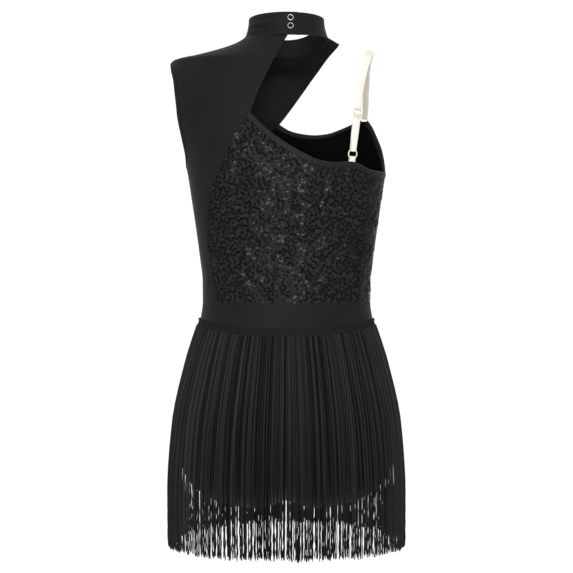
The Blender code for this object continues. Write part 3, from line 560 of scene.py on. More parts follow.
class Nodes:
    """A short way to put together a material's nodes. Underscores stand for spaces in names of sockets."""

    def __init__(self, name):
        self.material = bpy.data.materials.new(name)
        self.material.use_nodes = True
        self.tree = self.material.node_tree

    def fill(self, socket, value):
        if isinstance(value, bpy.types.NodeSocket):
            self.tree.links.new(value, socket)
        else:
            socket.default_value = value

    def add(self, kind, **settings):
        node = self.tree.nodes.new("ShaderNode" + kind)
        for key, value in settings.items():
            socket = key.replace("_", " ")
            if socket in node.inputs:
                self.fill(node.inputs[socket], value)
            else:
                setattr(node, key, value)
        return node

    def math(self, operation, *values):
        node = self.add("Math", operation=operation)
        for socket, value in zip(node.inputs, values):
            self.fill(socket, value)
        return node.outputs[0]

    def spot(self):
        return self.add("TexCoord").outputs["Object"]

    def uv(self):
        """Round the piece and along it."""
        return self.add("SeparateXYZ", Vector=self.add("TexCoord").outputs["UV"]).outputs[:2]

    def noise(self, scale, detail=2.0, spot=None):
        return self.add("TexNoise", Vector=spot or self.spot(), Scale=scale, Detail=detail).outputs["Fac"]

    def wave(self, height, *parts):
        """A sine wave, from pairs of a value and the waves to each unit of it."""
        turns = 0.0
        for value, waves in parts:
            turns = self.math("ADD", turns, self.math("MULTIPLY", value, 2 * math.pi * waves))
        return self.math("MULTIPLY", self.math("SINE", turns), height)

    def ramp(self, factor, low, high, at=(0.3, 0.7)):
        """From one colour to another; a grey is one number."""
        node = self.add("ValToRGB", Fac=factor)
        for stop, position, colour in zip(node.color_ramp.elements, at, (low, high)):
            stop.position = position
            stop.color = (*np.broadcast_to(colour, 3).tolist(), 1.0)
        return node.outputs["Color"]

    def spread(self, factor, middle, reach):
        return self.add("MapRange", Value=factor, To_Min=middle - reach, To_Max=middle + reach).outputs["Result"]

    def bump(self, height, strength, distance, **under):
        return self.add("Bump", Height=height, Strength=strength, Distance=distance, **under).outputs["Normal"]

    def shaded(self, **values):
        """Sets the shader's sockets and gives the material."""
        for key, value in values.items():
            self.fill(self.tree.nodes["Principled BSDF"].inputs[key.replace("_", " ")], value)
        return self.material


def knit(name, low, high, roughness, sheen, gloss, rib=0.55, strength=0.35):
    """Smooth stretch knit: fine ribs with loops across them, and a slight change of shade."""
    n = Nodes(name)
    across, along = n.uv()
    ribs = 1 / (rib * MM)
    height = n.math("ADD", n.wave(0.35, (across, ribs)), n.wave(0.2, (along, ribs * 1.3)))
    soft = n.noise(55.0)
    return n.shaded(
        Base_Color=n.ramp(n.noise(16.0, 3.0), low, high), Roughness=n.spread(soft, roughness, 0.05),
        Sheen_Weight=sheen, Sheen_Roughness=0.5, Specular_IOR_Level=gloss,
        Normal=n.bump(height, strength, 0.00008, Normal=n.bump(soft, 0.25, 0.0006)),
    )


def plain(name, low, high, roughness, scale=60.0, bump=0.2, distance=0.0002, **more):
    """A moulded or woven surface whose shade and gloss change a little."""
    n = Nodes(name)
    grain = n.noise(scale * 14)
    return n.shaded(
        Base_Color=n.ramp(n.noise(scale, 3.0), low, high), Roughness=n.spread(grain, roughness, 0.06),
        Normal=n.bump(grain, bump, distance), **more,
    )


def yarn(name, low, high, gloss):
    """Twisted yarn: slanting plies round each strand, lighter and darker strands, and a painted shade that darkens
    the strands low down.
    """
    n = Nodes(name)
    across, along = n.uv()
    spot = n.spot()
    drawn_out = n.add("Mapping", Vector=spot, Scale=(110.0, 110.0, 3.0)).outputs["Vector"]
    strands = n.math("MULTIPLY", n.noise(1.0, spot=drawn_out), 0.15)
    for group, weight in ((1.0, 0.65), (3.0, 0.2)):
        number = n.math("FLOOR", n.math("DIVIDE", across, group))
        own = n.add("TexWhiteNoise", noise_dimensions="1D", W=number).outputs["Value"]
        strands = n.math("ADD", strands, n.math("MULTIPLY", own, weight))
    height = n.add("SeparateXYZ", Vector=spot).outputs["Z"]
    # Painted shade: the colour darkens towards the strands' lower ends, standing in for the light from above
    # falling less there.
    painted_low_shade = n.add("MapRange", Value=height, From_Min=-0.58, From_Max=-0.42, To_Min=0.5, To_Max=1.0)
    shade = n.ramp(strands, low, high, (0.25, 0.75))
    return n.shaded(
        Base_Color=n.add("HueSaturation", Color=shade, Value=painted_low_shade.outputs["Result"]).outputs["Color"],
        Roughness=n.spread(strands, 0.49, 0.07), Specular_IOR_Level=gloss,
        Normal=n.bump(n.wave(1.0, (across, 2 / UV_TURN), (along, 1 / 0.0019)), 0.4, 0.0002),
    )


def elastic(name, low, high):
    """Plush-backed elastic with fine ribs along it."""
    n = Nodes(name)
    across, along = n.uv()
    weave = n.math("ADD", n.wave(0.4, (across, 40 / UV_TURN)), n.wave(0.3, (along, 1 / 0.0009)))
    noise = n.noise(70.0)
    return n.shaded(
        Base_Color=n.ramp(noise, low, high), Roughness=n.spread(noise, 0.47, 0.05),
        Sheen_Weight=0.15, Specular_IOR_Level=0.4, Normal=n.bump(weave, 0.35, 0.0001),
    )


STRETCH = knit("stretch_knit", 0.0054, 0.0068, 0.6, 0.004, 0.075), "black_stretch"
STRETCH_TRIM = knit("stretch_trim", 0.0078, 0.0096, 0.55, 0.006, 0.085, rib=0.7), "black_stretch"
# The lining is the black stretch knit, painted several times darker for the shade inside the garment.
LINER_PAINTED_SHADE = knit("lining_knit_painted_shade", 0.0012, 0.0018, 0.7, 0.0, 0.03), "black_stretch"
GROUND = knit(
    "sequin_ground", (0.0108, 0.0106, 0.0088), (0.0146, 0.0143, 0.0121), 0.7, 0.005, 0.085, rib=1.0, strength=0.6
), "black_sequin"
THREAD = plain("thread", 0.004, 0.008, 0.5, scale=200.0, Specular_IOR_Level=0.15), "black_stretch"
SEQUIN = plain(
    "sequin_gloss", (0.0004, 0.0004, 0.0003), (0.0011, 0.0010, 0.0008), 0.28, scale=400.0, bump=0.05,
    distance=0.00005, Specular_IOR_Level=0.09,
), "black_sequin"
YARN = yarn("fringe_yarn", 0.0020, 0.0235, 0.09), "black_fringe"
# Painted shade: the header's yarn is coloured darker than the strands, for the shadow where the strands hang from
# it.
TAPE = yarn("fringe_tape_painted_shade", 0.0030, 0.0062, 0.07), "black_fringe"
ELASTIC = elastic("strap_elastic", (0.56, 0.53, 0.46), (0.62, 0.59, 0.52)), "nude_elastic"
PLASTIC = plain(
    "strap_plastic", (0.52, 0.47, 0.38), (0.58, 0.53, 0.44), 0.28, bump=0.08,
    Subsurface_Weight=0.1, Coat_Weight=0.3, Coat_Roughness=0.1,
), "cream_plastic"
METAL = plain("snap_metal", (0.50, 0.50, 0.51), (0.57, 0.57, 0.58), 0.24, bump=0.1, Metallic=1.0), "snap_metal"


# The plain halves

HEM_THICK = 0.3


def left_edge(side):
    """The shoulder panel's outer edge: side seam, armhole, then the shoulder seam to the collar."""
    armhole = [(side * math.radians(degrees), float(run_at(z))) for z, degrees in ARMHOLE_EDGE]
    return joined(
        side_line(0.0, UNDERARM_LEFT, WAIST, SIDE_ROWS), line(armhole, ARMHOLE_ROWS),
        side_line(0.0, NECK_SEAM, SHOULDER_TIP, RIDGE_ROWS),
    )


def brief_grid(angles, side):
    """The brief's half from the waist to the crotch seam, round the leg openings."""
    reach_sideways = WHOLE_RUN - float(run_at(LEG_TOP))
    middle = (reach_sideways + CROTCH_HALF_WIDTH) / 2
    half = (reach_sideways - CROTCH_HALF_WIDTH) / 2
    bulge = LEG_BACK_REACH if side > 0 else LEG_FRONT_REACH
    turns = np.linspace(0.0, math.pi, BRIEF_LEG_ROWS + 1)
    leg = np.stack([middle + half * np.cos(turns), side * bulge * np.sin(turns)], axis=-1)
    seam_runs = np.linspace(run_at(WAIST), run_at(LEG_TOP), BRIEF_SIDE_ROWS + 1)
    seam = to_polar(np.zeros(BRIEF_SIDE_ROWS + 1), seam_runs)
    left = joined(seam, leg)
    waist = to_polar(angles, np.full(len(angles), run_at(WAIST)))
    across = np.linspace(CROTCH_HALF_WIDTH, -CROTCH_HALF_WIDTH, len(angles))
    crotch = np.stack([across, np.zeros(len(angles))], axis=-1)
    flat = coons(waist, crotch, left, left * (-1.0, 1.0))
    flat[..., 1] = side * np.maximum(side * flat[..., 1], 0.0)
    return np.stack(from_polar(flat), axis=-1)


def main_panel(name, side, seam, top, inner_edge, columns):
    """A plain half: shoulder, side, waistband and brief in one, with its hems and stitching."""
    waist_run = float(run_at(WAIST))
    bottom = level(0.0, seam[0, 0], waist_run, columns)
    rest = level(seam[0, 0], side * math.pi, waist_run, SEQUIN_COLUMNS)
    upper = Cloth(coons(bottom, top, left_edge(side), joined(seam, inner_edge)))
    lower = Cloth(brief_grid(joined(bottom, rest)[:, 0], side))
    upper.points[0, :] = lower.points[0, : columns + 1]
    made = shell(name, [upper, lower], CLOTH, STRETCH, name.replace("cloth", "panel"))

    stitches, others = Stitches(f"{name}_stitches"), []
    for part, rows, width in (
        ("cut_hem", upper.rows_from("right", SEAM_ROWS), 5.6),
        ("arm_hem", upper.rows_from("left", SIDE_ROWS, SIDE_ROWS + ARMHOLE_ROWS + 1), 6.0),
        ("left_leg_hem", lower.rows_from("left", BRIEF_SIDE_ROWS), 7.0),
        ("right_leg_hem", lower.rows_from("right", BRIEF_SIDE_ROWS), 7.0),
    ):
        others.append(edge_strip(f"{name}_{part}", *rows, width, HEM_THICK, CLOTH, STRETCH))
        stitches.row(*rows, width - 1.4, 0.4)
    for part, rows, width, thick in (
        ("neck_seam", upper.rows_from("top", 1, -1), 3.4, 0.4),
        ("bodice_seam", upper.rows_from("right", 0, SEAM_ROWS), 5.5, 0.84),
        ("side_seam", upper.rows_from("left", 0, SIDE_ROWS), 5.5, 0.84),
    ):
        others.append(allowance(f"{name}_{part}", *rows, CLOTH, width, thick))
        stitches.row(*rows, width - 0.9, -CLOTH - 0.11 - thick, length=1.6, gap=0.5)
    for rows, reach in (
        (upper.rows_from("right", 0, SEAM_ROWS + 1), 1.6), (lower.rows_from("bottom", columns), 1.6),
        (upper.rows_from("top"), 1.5), (upper.rows_from("left", 0, SIDE_ROWS + 1), 1.6),
    ):
        stitches.row(*rows, reach, 0.1)
    stitches.made()


BACK_SEAM_LINE = line(BACK_SEAM, SEAM_ROWS, 1)
back_cut = line(BACK_CUT, PANEL_ROWS - SEAM_ROWS, 1)
back_top = level(0.0, back_cut[-1, 0], 0.0, SHOULDER_COLUMNS)
back_cut[-1, 1] = 0.0
main_panel("back_main_cloth", 1, BACK_SEAM_LINE, back_top, back_cut, SHOULDER_COLUMNS)

FRONT_SEAM_LINE = line(FRONT_SEAM, SEAM_ROWS, -1)
front_cut = line(FRONT_CUT, PANEL_ROWS - SEAM_ROWS - 1, -1)
front_cut[-1, 0] = -math.pi
front_top = level(0.0, -math.pi, 0.0, CHEST_COLUMNS)
neck_side = np.array([front_cut[-1], (-math.pi, 0.0)])
main_panel(
    "front_main_cloth", -1, FRONT_SEAM_LINE, front_top, joined(front_cut, neck_side), CHEST_COLUMNS,
)


# The sequined halves

SEQUIN_PITCH = 1.6
SEQUIN_RADIUS = 1.5
SEQUIN_THICK = 0.12
SEQUIN_SIDES = 7
TRAIL_NEAR = 3.1
TRAIL_START = 3.5
TRAIL_BENDS = (1.8, 3.4)
SEQUIN_CUP = 0.012
SEQUIN_DISH = 0.008


class Chart:
    """The cloth round the figure laid flat: u along each level from the middle, v down the side."""

    def __init__(self, side, first, last, top, bottom):
        self.angles = np.linspace(first, last, 260)
        self.runs = np.linspace(top, bottom, 110)
        grid = figure(self.angles[None], self.runs[:, None])
        steps = np.linalg.norm(np.diff(grid, axis=1), axis=2)
        arcs = np.concatenate([np.zeros((len(self.runs), 1)), np.cumsum(steps, axis=1)], axis=1)
        middle = int(np.argmin(abs(self.angles - side * math.pi / 2)))
        self.arcs = arcs - arcs[:, middle: middle + 1]

    def flat(self, stations):
        """Chart places of (angle, run) stations."""
        rows = np.interp(stations[:, 1], self.runs, np.arange(len(self.runs)))
        made = []
        for (angle, run), row in zip(stations, rows):
            low = min(int(row), len(self.runs) - 2)
            t = row - low
            arc = [np.interp(angle, self.angles, self.arcs[low + k]) for k in (0, 1)]
            made.append((arc[0] * (1 - t) + arc[1] * t, run))
        return np.array(made)

    def station(self, u, v):
        row = np.interp(v, self.runs, np.arange(len(self.runs)))
        low = min(int(row), len(self.runs) - 2)
        t = row - low
        angle = [np.interp(u, self.arcs[low + k], self.angles) for k in (0, 1)]
        return angle[0] * (1 - t) + angle[1] * t, v


def edge_distance(outline, spot):
    """How far inside a closed outline a spot lies; below 0 outside."""
    a, b = outline, np.roll(outline, -1, axis=0)
    way = b - a
    size = np.maximum((way ** 2).sum(axis=1), 1e-9)
    t = np.clip(((spot - a) * way).sum(axis=1) / size, 0.0, 1.0)
    near = np.sqrt(((a + way * t[:, None] - spot) ** 2).sum(axis=1).min())
    crosses = (a[:, 1] > spot[1]) != (b[:, 1] > spot[1])
    at = a[:, 0] + (spot[1] - a[:, 1]) * way[:, 0] / np.where(way[:, 1] == 0, 1e-9, way[:, 1])
    return near if np.count_nonzero(crosses & (spot[0] < at)) % 2 else -near


class Trails:
    """Short stitched trails that curl one way and then the other, and stop where they meet another."""

    def __init__(self, seed):
        self.dice = np.random.default_rng(seed)
        self.taken = {}
        self.placed = []

    def near(self, spot, reach, but=()):
        cell = (int(spot[0] // 3), int(spot[1] // 3))
        for i in (-1, 0, 1):
            for j in (-1, 0, 1):
                for k in self.taken.get((cell[0] + i, cell[1] + j), ()):
                    if k not in but and np.hypot(*(self.placed[k][0] - spot)) < reach:
                        return True
        return False

    def put(self, spot, way):
        self.taken.setdefault((int(spot[0] // 3), int(spot[1] // 3)), []).append(len(self.placed))
        self.placed.append((spot.copy(), way.copy()))

    def walk(self, inside, box):
        starts = [
            np.array((u, v)) for u in np.arange(box[0], box[1], 1.7) for v in np.arange(box[2], box[3], 1.7)
        ]
        self.dice.shuffle(starts)
        for spot in starts:
            if self.near(spot, TRAIL_START):
                continue
            turn, bend, left = self.dice.uniform(0, 2 * math.pi), 1.0, 0
            count = first = len(self.placed)
            while inside(spot) and not self.near(spot, TRAIL_NEAR, range(max(first, count - 3), count)):
                if not left:
                    bend = -math.copysign(SEQUIN_PITCH / self.dice.uniform(*TRAIL_BENDS), bend)
                    left = self.dice.integers(2, 6)
                left -= 1
                self.put(spot, np.array((math.cos(turn), math.sin(turn))))
                count += 1
                turn += bend
                spot = spot + np.array((math.cos(turn), math.sin(turn))) * SEQUIN_PITCH
        return self.placed


def sequins(name, chart, outline, seed):
    """Sequins sewn in wandering trails, each a small closed disc."""
    (left, low), (right, high) = outline.min(axis=0), outline.max(axis=0)
    placed = Trails(seed).walk(lambda spot: edge_distance(outline, spot) > 1.0, (left, right, low, high))
    stations = np.array([chart.station(*spot) for spot, _ in placed])
    ahead = np.array([chart.station(*(spot + way * 0.4)) for spot, way in placed])
    spots, outs = figure(*stations.T), outward(*stations.T)
    ways = figure(*ahead.T) - spots
    ways = unit(ways - outs * (ways * outs).sum(axis=1, keepdims=True))
    dice = np.random.default_rng(seed + 7)
    # Neighbours lie tilted alike, so that patches of the trails catch the light together.
    waves = dice.normal(0.0, 0.22, (16, 3))
    swell = np.sin(spots @ waves.T + dice.uniform(0, 2 * math.pi, 16))
    tips = swell[:, :8].sum(axis=1) * 2.2
    rolls = swell[:, 8:].sum(axis=1) * 5.0
    points, faces = [], []
    for spot, out, way, lift, tip, roll in zip(spots, outs, ways, relief(spots), tips, rolls):
        tip, roll = np.radians((tip + dice.normal(0.0, 3.0), roll + dice.normal(0.0, 6.0)))
        across = np.cross(out, (0.0, 0.0, 1.0))
        up = unit(out + np.cross(across, out) * math.tan(tip) + across * math.tan(roll))
        one = unit(way - up * (way @ up))
        two = np.cross(up, one)
        centre = spot + out * (lift + dice.uniform(0.05, 0.35))
        low = len(points)
        high, low_middle = low + SEQUIN_SIDES, low + 2 * SEQUIN_SIDES
        rim = [
            centre + (one * math.cos(turn) + two * math.sin(turn)) * SEQUIN_RADIUS + up * SEQUIN_CUP
            for turn in circle(SEQUIN_SIDES) + dice.uniform(0, math.pi)
        ]
        centre = centre - up * SEQUIN_DISH
        points += [*rim, *(spot + up * SEQUIN_THICK for spot in rim), centre, centre + up * SEQUIN_THICK]
        for k in range(SEQUIN_SIDES):
            n = (k + 1) % SEQUIN_SIDES
            faces.append((low + n, low + k, low_middle))
            faces.append((high + k, high + n, low_middle + 1))
            faces.append((low + k, low + n, high + n, high + k))
    return add_mesh(name, points, faces, SEQUIN, smooth=False)


def sequin_panel(name, side, seam, neckline, seed):
    """The sequined half of the bodice: its ground cloth and its sequins."""
    waist_run = float(run_at(WAIST))
    bottom = level(seam[0, 0], side * math.pi, waist_run, SEQUIN_COLUMNS)
    right = side_line(side * math.pi, UNDERARM_RIGHT, WAIST, SEAM_ROWS)
    stations = coons(bottom, neckline, seam, right)
    cloth = Cloth(stations, drop=GROUND_DROP)
    made = shell(f"{name}_ground", [cloth], SEQUIN_GROUND, GROUND, f"{name}_panel")
    edge = np.concatenate([bottom, right[1:], neckline[::-1][1:], seam[::-1][1:-1]])
    low, high = edge.min(axis=0), edge.max(axis=0)
    chart = Chart(side, low[0] - 0.05, high[0] + 0.05, low[1] - 2, high[1] + 2)
    discs = sequins(f"{name}_discs", chart, chart.flat(edge), seed)
    # The lining under the sequined cloth, in the knit that is painted darker for the shade inside.
    lining = Cloth(stations, drop=GROUND_DROP + SEQUIN_GROUND + 0.03)
    lining = shell(f"{name}_lining", [lining], LINING, LINER_PAINTED_SHADE)
    return cloth


back_neckline = line(BACK_NECKLINE, SEQUIN_COLUMNS, 1)
back_neckline[-1] = (math.pi, run_at(UNDERARM_RIGHT))
BACK_SEQUINED = sequin_panel("back_sequin", 1, BACK_SEAM_LINE, back_neckline, 11)

front_neckline = line(FRONT_NECKLINE, 8 * FINE, -1)
strap_seat = line([FRONT_NECKLINE[-1], FRONT_STRAP_CORNER], FINE, -1)
arm_edge = line(RIGHT_ARM_EDGE, 5 * FINE, -1)
arm_edge[-1] = (-math.pi, run_at(UNDERARM_RIGHT))
FRONT_SEQUINED = sequin_panel(
    "front_sequin", -1, FRONT_SEAM_LINE, joined(front_neckline, strap_seat, arm_edge), 23
)


# The bindings

BINDING_WIDTH = 4.6
BINDING_CLOTH = 0.8


def binding(name, cloth, first, last):
    """A folded strip over the sequined cloth's top edge, with its row of stitches."""
    rows, normals = cloth.rows_from("top", first, last + 1)
    rows = rows + normals * GROUND_DROP
    made = edge_strip(
        name, rows, normals, BINDING_WIDTH, BINDING_CLOTH, SEQUIN_STACK, STRETCH_TRIM, clear=0.2,
        replaces=name.replace("strip", "binding"),
    )
    stitches = Stitches(f"{name}_stitches")
    stitches.row(rows, normals, BINDING_WIDTH - 1.3, 1.1)
    stitches.made()


binding("back_neck_strip", BACK_SEQUINED, 0, SEQUIN_COLUMNS - 1)
binding("front_neck_strip", FRONT_SEQUINED, 0, 8 * FINE)
binding("front_arm_strip", FRONT_SEQUINED, 9 * FINE, SEQUIN_COLUMNS - 1)


# The collar

COLLAR_TOP_WIDTH = 47.2
COLLAR_TOP_DEPTH = 44.5
COLLAR_BACK_HEIGHT = 26.5
COLLAR_SIDE_HEIGHT = 21.0
COLLAR_FRONT_HEIGHT = 21.5
COLLAR_UNDER_END = 2.0
COLLAR_OVER_END = -13.5
COLLAR_LIFT_START = 425.0
COLLAR_LIFT_END = 447.0
COLLAR_CLOTH = 1.6
COLLAR_SHARE_MM = 24.0
COLLAR_RADIUS = 48.0
CAD_SEAM_GAP = 0.3
SNAP_PLACE = -5.0
SNAP_HEIGHTS = (0.36, 0.75)


def collar_point(angle, share):
    """A point of the collar's outer face, share 0 at its seam and 1 at its top edge."""
    angle = np.asarray(angle, float)
    back_share = np.sin(angle)
    side_height = COLLAR_SIDE_HEIGHT
    height = side_height + np.where(
        back_share >= 0,
        (COLLAR_BACK_HEIGHT - side_height) * back_share, (side_height - COLLAR_FRONT_HEIGHT) * back_share,
    )
    bow = 1 - (1 - share) ** 2
    wide = FIGURE[0, 1] + (COLLAR_TOP_WIDTH - FIGURE[0, 1]) * bow
    deep = FIGURE[0, 2] + (COLLAR_TOP_DEPTH - FIGURE[0, 2]) * bow
    lift = COLLAR_CLOTH + CAD_SEAM_GAP + 0.3
    turned = (np.degrees(angle) - COLLAR_LIFT_START) / (COLLAR_LIFT_END - COLLAR_LIFT_START)
    out = lift * smooth_step(turned)
    x = (wide + out) * powered(np.cos(angle))
    y = (deep + out) * powered(np.sin(angle))
    z = NECK_SEAM + slant(angle) + CAD_SEAM_GAP + share * height
    return np.stack([x, y, z], axis=-1)


def collar_angle(across, turns=0):
    """The collar's angle at a place across the back."""
    share = (abs(across) / FIGURE[0, 1]) ** (SQUARENESS / 2)
    return math.acos(math.copysign(share, across)) + turns * 2 * math.pi


# Drag wrinkles of the collar: from and to in degrees, share up at each end, width, depth.
COLLAR_WRINKLES = [
    (372, 452, 0.46, 0.62, 2.2, 1.3),
    (376, 454, 0.29, 0.45, 1.8, -1.3),
    (374, 452, 0.15, 0.28, 1.5, 1.1),
    (396, 450, 0.03, 0.1, 1.2, -0.8),
    (366, 410, 0.62, 0.56, 1.6, 0.5),
    (98, 150, 0.5, 0.36, 1.6, 0.3),
    (170, 225, 0.35, 0.45, 1.7, 0.4),
    (205, 262, 0.58, 0.5, 1.6, -0.4),
    (255, 318, 0.4, 0.3, 1.8, 0.4),
    (300, 352, 0.55, 0.64, 1.6, 0.4),
]


def dent(apart, depth, width):
    return depth * np.exp(-((apart / width) ** 2))


def collar():
    angles = np.linspace(collar_angle(COLLAR_UNDER_END), collar_angle(COLLAR_OVER_END, 1), 280)
    shares = np.concatenate([[-0.04], np.linspace(0.0, 1.0, 19)])
    rows = np.stack([collar_point(angles, share) for share in shares])
    normals = unit(np.cross(np.gradient(rows, axis=1), np.gradient(rows, axis=0)))
    degrees = np.degrees(angles)[None]
    up = shares[:, None] * COLLAR_SHARE_MM
    lift = np.zeros(rows.shape[:2])
    for low, high, at_low, at_high, width, depth in COLLAR_WRINKLES:
        t = np.clip((degrees - low) / (high - low), 0.0, 1.0)
        middle = (at_low + (at_high - at_low) * t) * COLLAR_SHARE_MM
        lift += np.sin(math.pi * t) ** 0.7 * dent(up - middle, depth, width)
    # A stitched groove near the top edge and the seam.
    lift -= dent(up - 22.4, 0.22, 0.7) + dent(up - 2.0, 0.22, 0.7)
    # The lower layer is pressed in beside the upper layer's end.
    lift -= dent((angles - collar_angle(COLLAR_OVER_END - 1.2)) * COLLAR_RADIUS, 0.9, 1.3)
    # The cloth is drawn in under each snap.
    across = (angles - collar_angle(SNAP_PLACE, 1)) * COLLAR_RADIUS
    for share in SNAP_HEIGHTS:
        apart = np.hypot(across, (shares[:, None] - share) * COLLAR_BACK_HEIGHT)
        lift -= dent(apart, 0.35, 2.0) + dent(apart - 5.2, 0.25, 1.2)
    rows = rows + normals * lift[..., None]
    # Outer leaf, round top fold, inner leaf and round foot, as one closed section.
    half = COLLAR_CLOTH / 2
    sections = []
    for column, outs in zip(np.swapaxes(rows, 0, 1), np.swapaxes(normals, 0, 1)):
        upward = unit(column[-1] - column[-2]) * 0.6
        top_fold = [
            column[-1] + (outs[-1] * (math.cos(a) - 1) + upward * math.sin(a)) * half
            for a in np.radians((30, 60, 90, 120, 150))
        ]
        sections.append([*column, *top_fold, *(column - outs * COLLAR_CLOTH)[::-1]])
    sections = np.array(sections)
    # Both ends close round.
    ends = []
    for section, neighbour in ((sections[0], sections[1]), (sections[-1], sections[-2])):
        way = unit((section - neighbour).mean(axis=0)) * half
        middle = (section + section[::-1]) / 2
        ends.append([
            middle + (section - middle) * math.cos(a) + way * math.sin(a) for a in np.radians((25, 50, 75))
        ])
    sections = [*ends[0][::-1], *sections, *ends[1]]
    made = swept("collar_cloth", sections, STRETCH, replaces="collar")
    stitches = Stitches("collar_stitches")
    for grid, outs, reach in (
        (rows[:, 3:-3], normals[:, 3:-3], 2.0), (rows[::-1, 3:-3], normals[::-1, 3:-3], 1.6),
        (np.swapaxes(rows[2:-2], 0, 1)[::-1], np.swapaxes(normals[2:-2], 0, 1)[::-1], 1.8),
    ):
        stitches.row(grid, outs, reach, 0.02, length=2.2)
    stitches.made()


# Radius and height of the ring's section.
SNAP_PROFILE = [
    (2.95, 0.1), (2.8, 0.6), (2.86, 1), (3, 1.25), (3.22, 1.35), (3.45, 1.3), (3.65, 1.05), (3.8, 0.75),
    (3.85, 0.3), (3.3, 0),
]


def snap(name, share):
    """A prong snap's ring, standing a little proud of the collar."""
    angle = collar_angle(SNAP_PLACE, 1)
    centre = collar_point(angle, share)
    across = unit(collar_point(angle + 0.01, share) - centre)
    out = unit(np.cross(across, collar_point(angle, share + 0.02) - centre))
    up = np.cross(out, across)
    sections = [
        [centre + radius * (math.cos(turn) * across + math.sin(turn) * up) + height * out
         for radius, height in SNAP_PROFILE]
        for turn in circle(48)
    ]
    swept(name, sections, METAL, closed=True, replaces=name.replace("ring", "snap"))


collar()
snap("collar_ring_lower", SNAP_HEIGHTS[0])
snap("collar_ring_upper", SNAP_HEIGHTS[1])


# The fringe

TAPE_TOP = -346.5
TAPE_BACK_DIP = 10.5
TAPE_HEIGHT = 9.5
TAPE_CLEAR = 0.8
FRINGE_END = -627.5
FRINGE_BACK_DIP = 1.5
FRINGE_FRONT_RISE = 10.5
FRINGE_FALL = np.array([
    (0, 109.5, 86.3, 83.4),
    (0.16, 123.6, 97.3, 93.8),
    (0.46, 141, 110.3, 103.3),
    (0.75, 146.2, 113.2, 104.9),
    (1, 145.4, 113.6, 105),
])
STRANDS = 880
STRAND_SIDES = 4
LOCKS = 200
TAPE_STEPS = 1960
# The header's section: down from its top, out from the cloth, share of chain cord.
TAPE_PROFILE = np.array([
    (0.2, 0, 0), (-0.3, 0.8, 0.5), (0.4, 1.5, 1), (1.3, 1.6, 1), (2.2, 1, 0.5), (3.6, 1, 0), (5, 1, 0),
    (6.4, 1.1, 0.5), (7.3, 1.8, 1), (8.4, 1.8, 1), (9.4, 1, 0.5), (9.4, 0.4, 0), (5, 0, 0),
])


def tape_top(angle):
    return TAPE_TOP - TAPE_BACK_DIP * np.maximum(np.sin(angle), 0.0) ** 2


def tape():
    """The header that the strands hang from: yarn loops side by side, held by two chain cords."""
    angles = circle(TAPE_STEPS)
    i = np.arange(TAPE_STEPS)[:, None]
    down, out, cords = TAPE_PROFILE.T[:, None]
    loops = 0.24 * np.sin(2 * math.pi * i / 5.6 + 0.7 * np.sin(i * 0.061)) * (1 - cords)
    chain = 0.26 * np.sin(2 * math.pi * i / 8.9 + down * 0.9) * cords
    bulk = np.where(out > 0.6, out + loops + chain + 0.12 * np.sin(i * 0.137 + down), out)
    runs = run_at(tape_top(angles)[:, None] - down)
    turns = np.broadcast_to(angles[:, None], runs.shape)
    spots = figure(turns, runs) + outward(turns, runs) * (1, 1, 0) * (TAPE_CLEAR + bulk)[..., None]
    sag = 0.4 * np.sin(angles * 9 + 1.0) + 0.25 * np.sin(angles * 23) + 0.2 * np.sin(i[:, 0] * 0.7)
    spots[..., 2] += sag[:, None]
    return swept("fringe_band", spots, TAPE, closed=True, replaces="fringe_skirt")


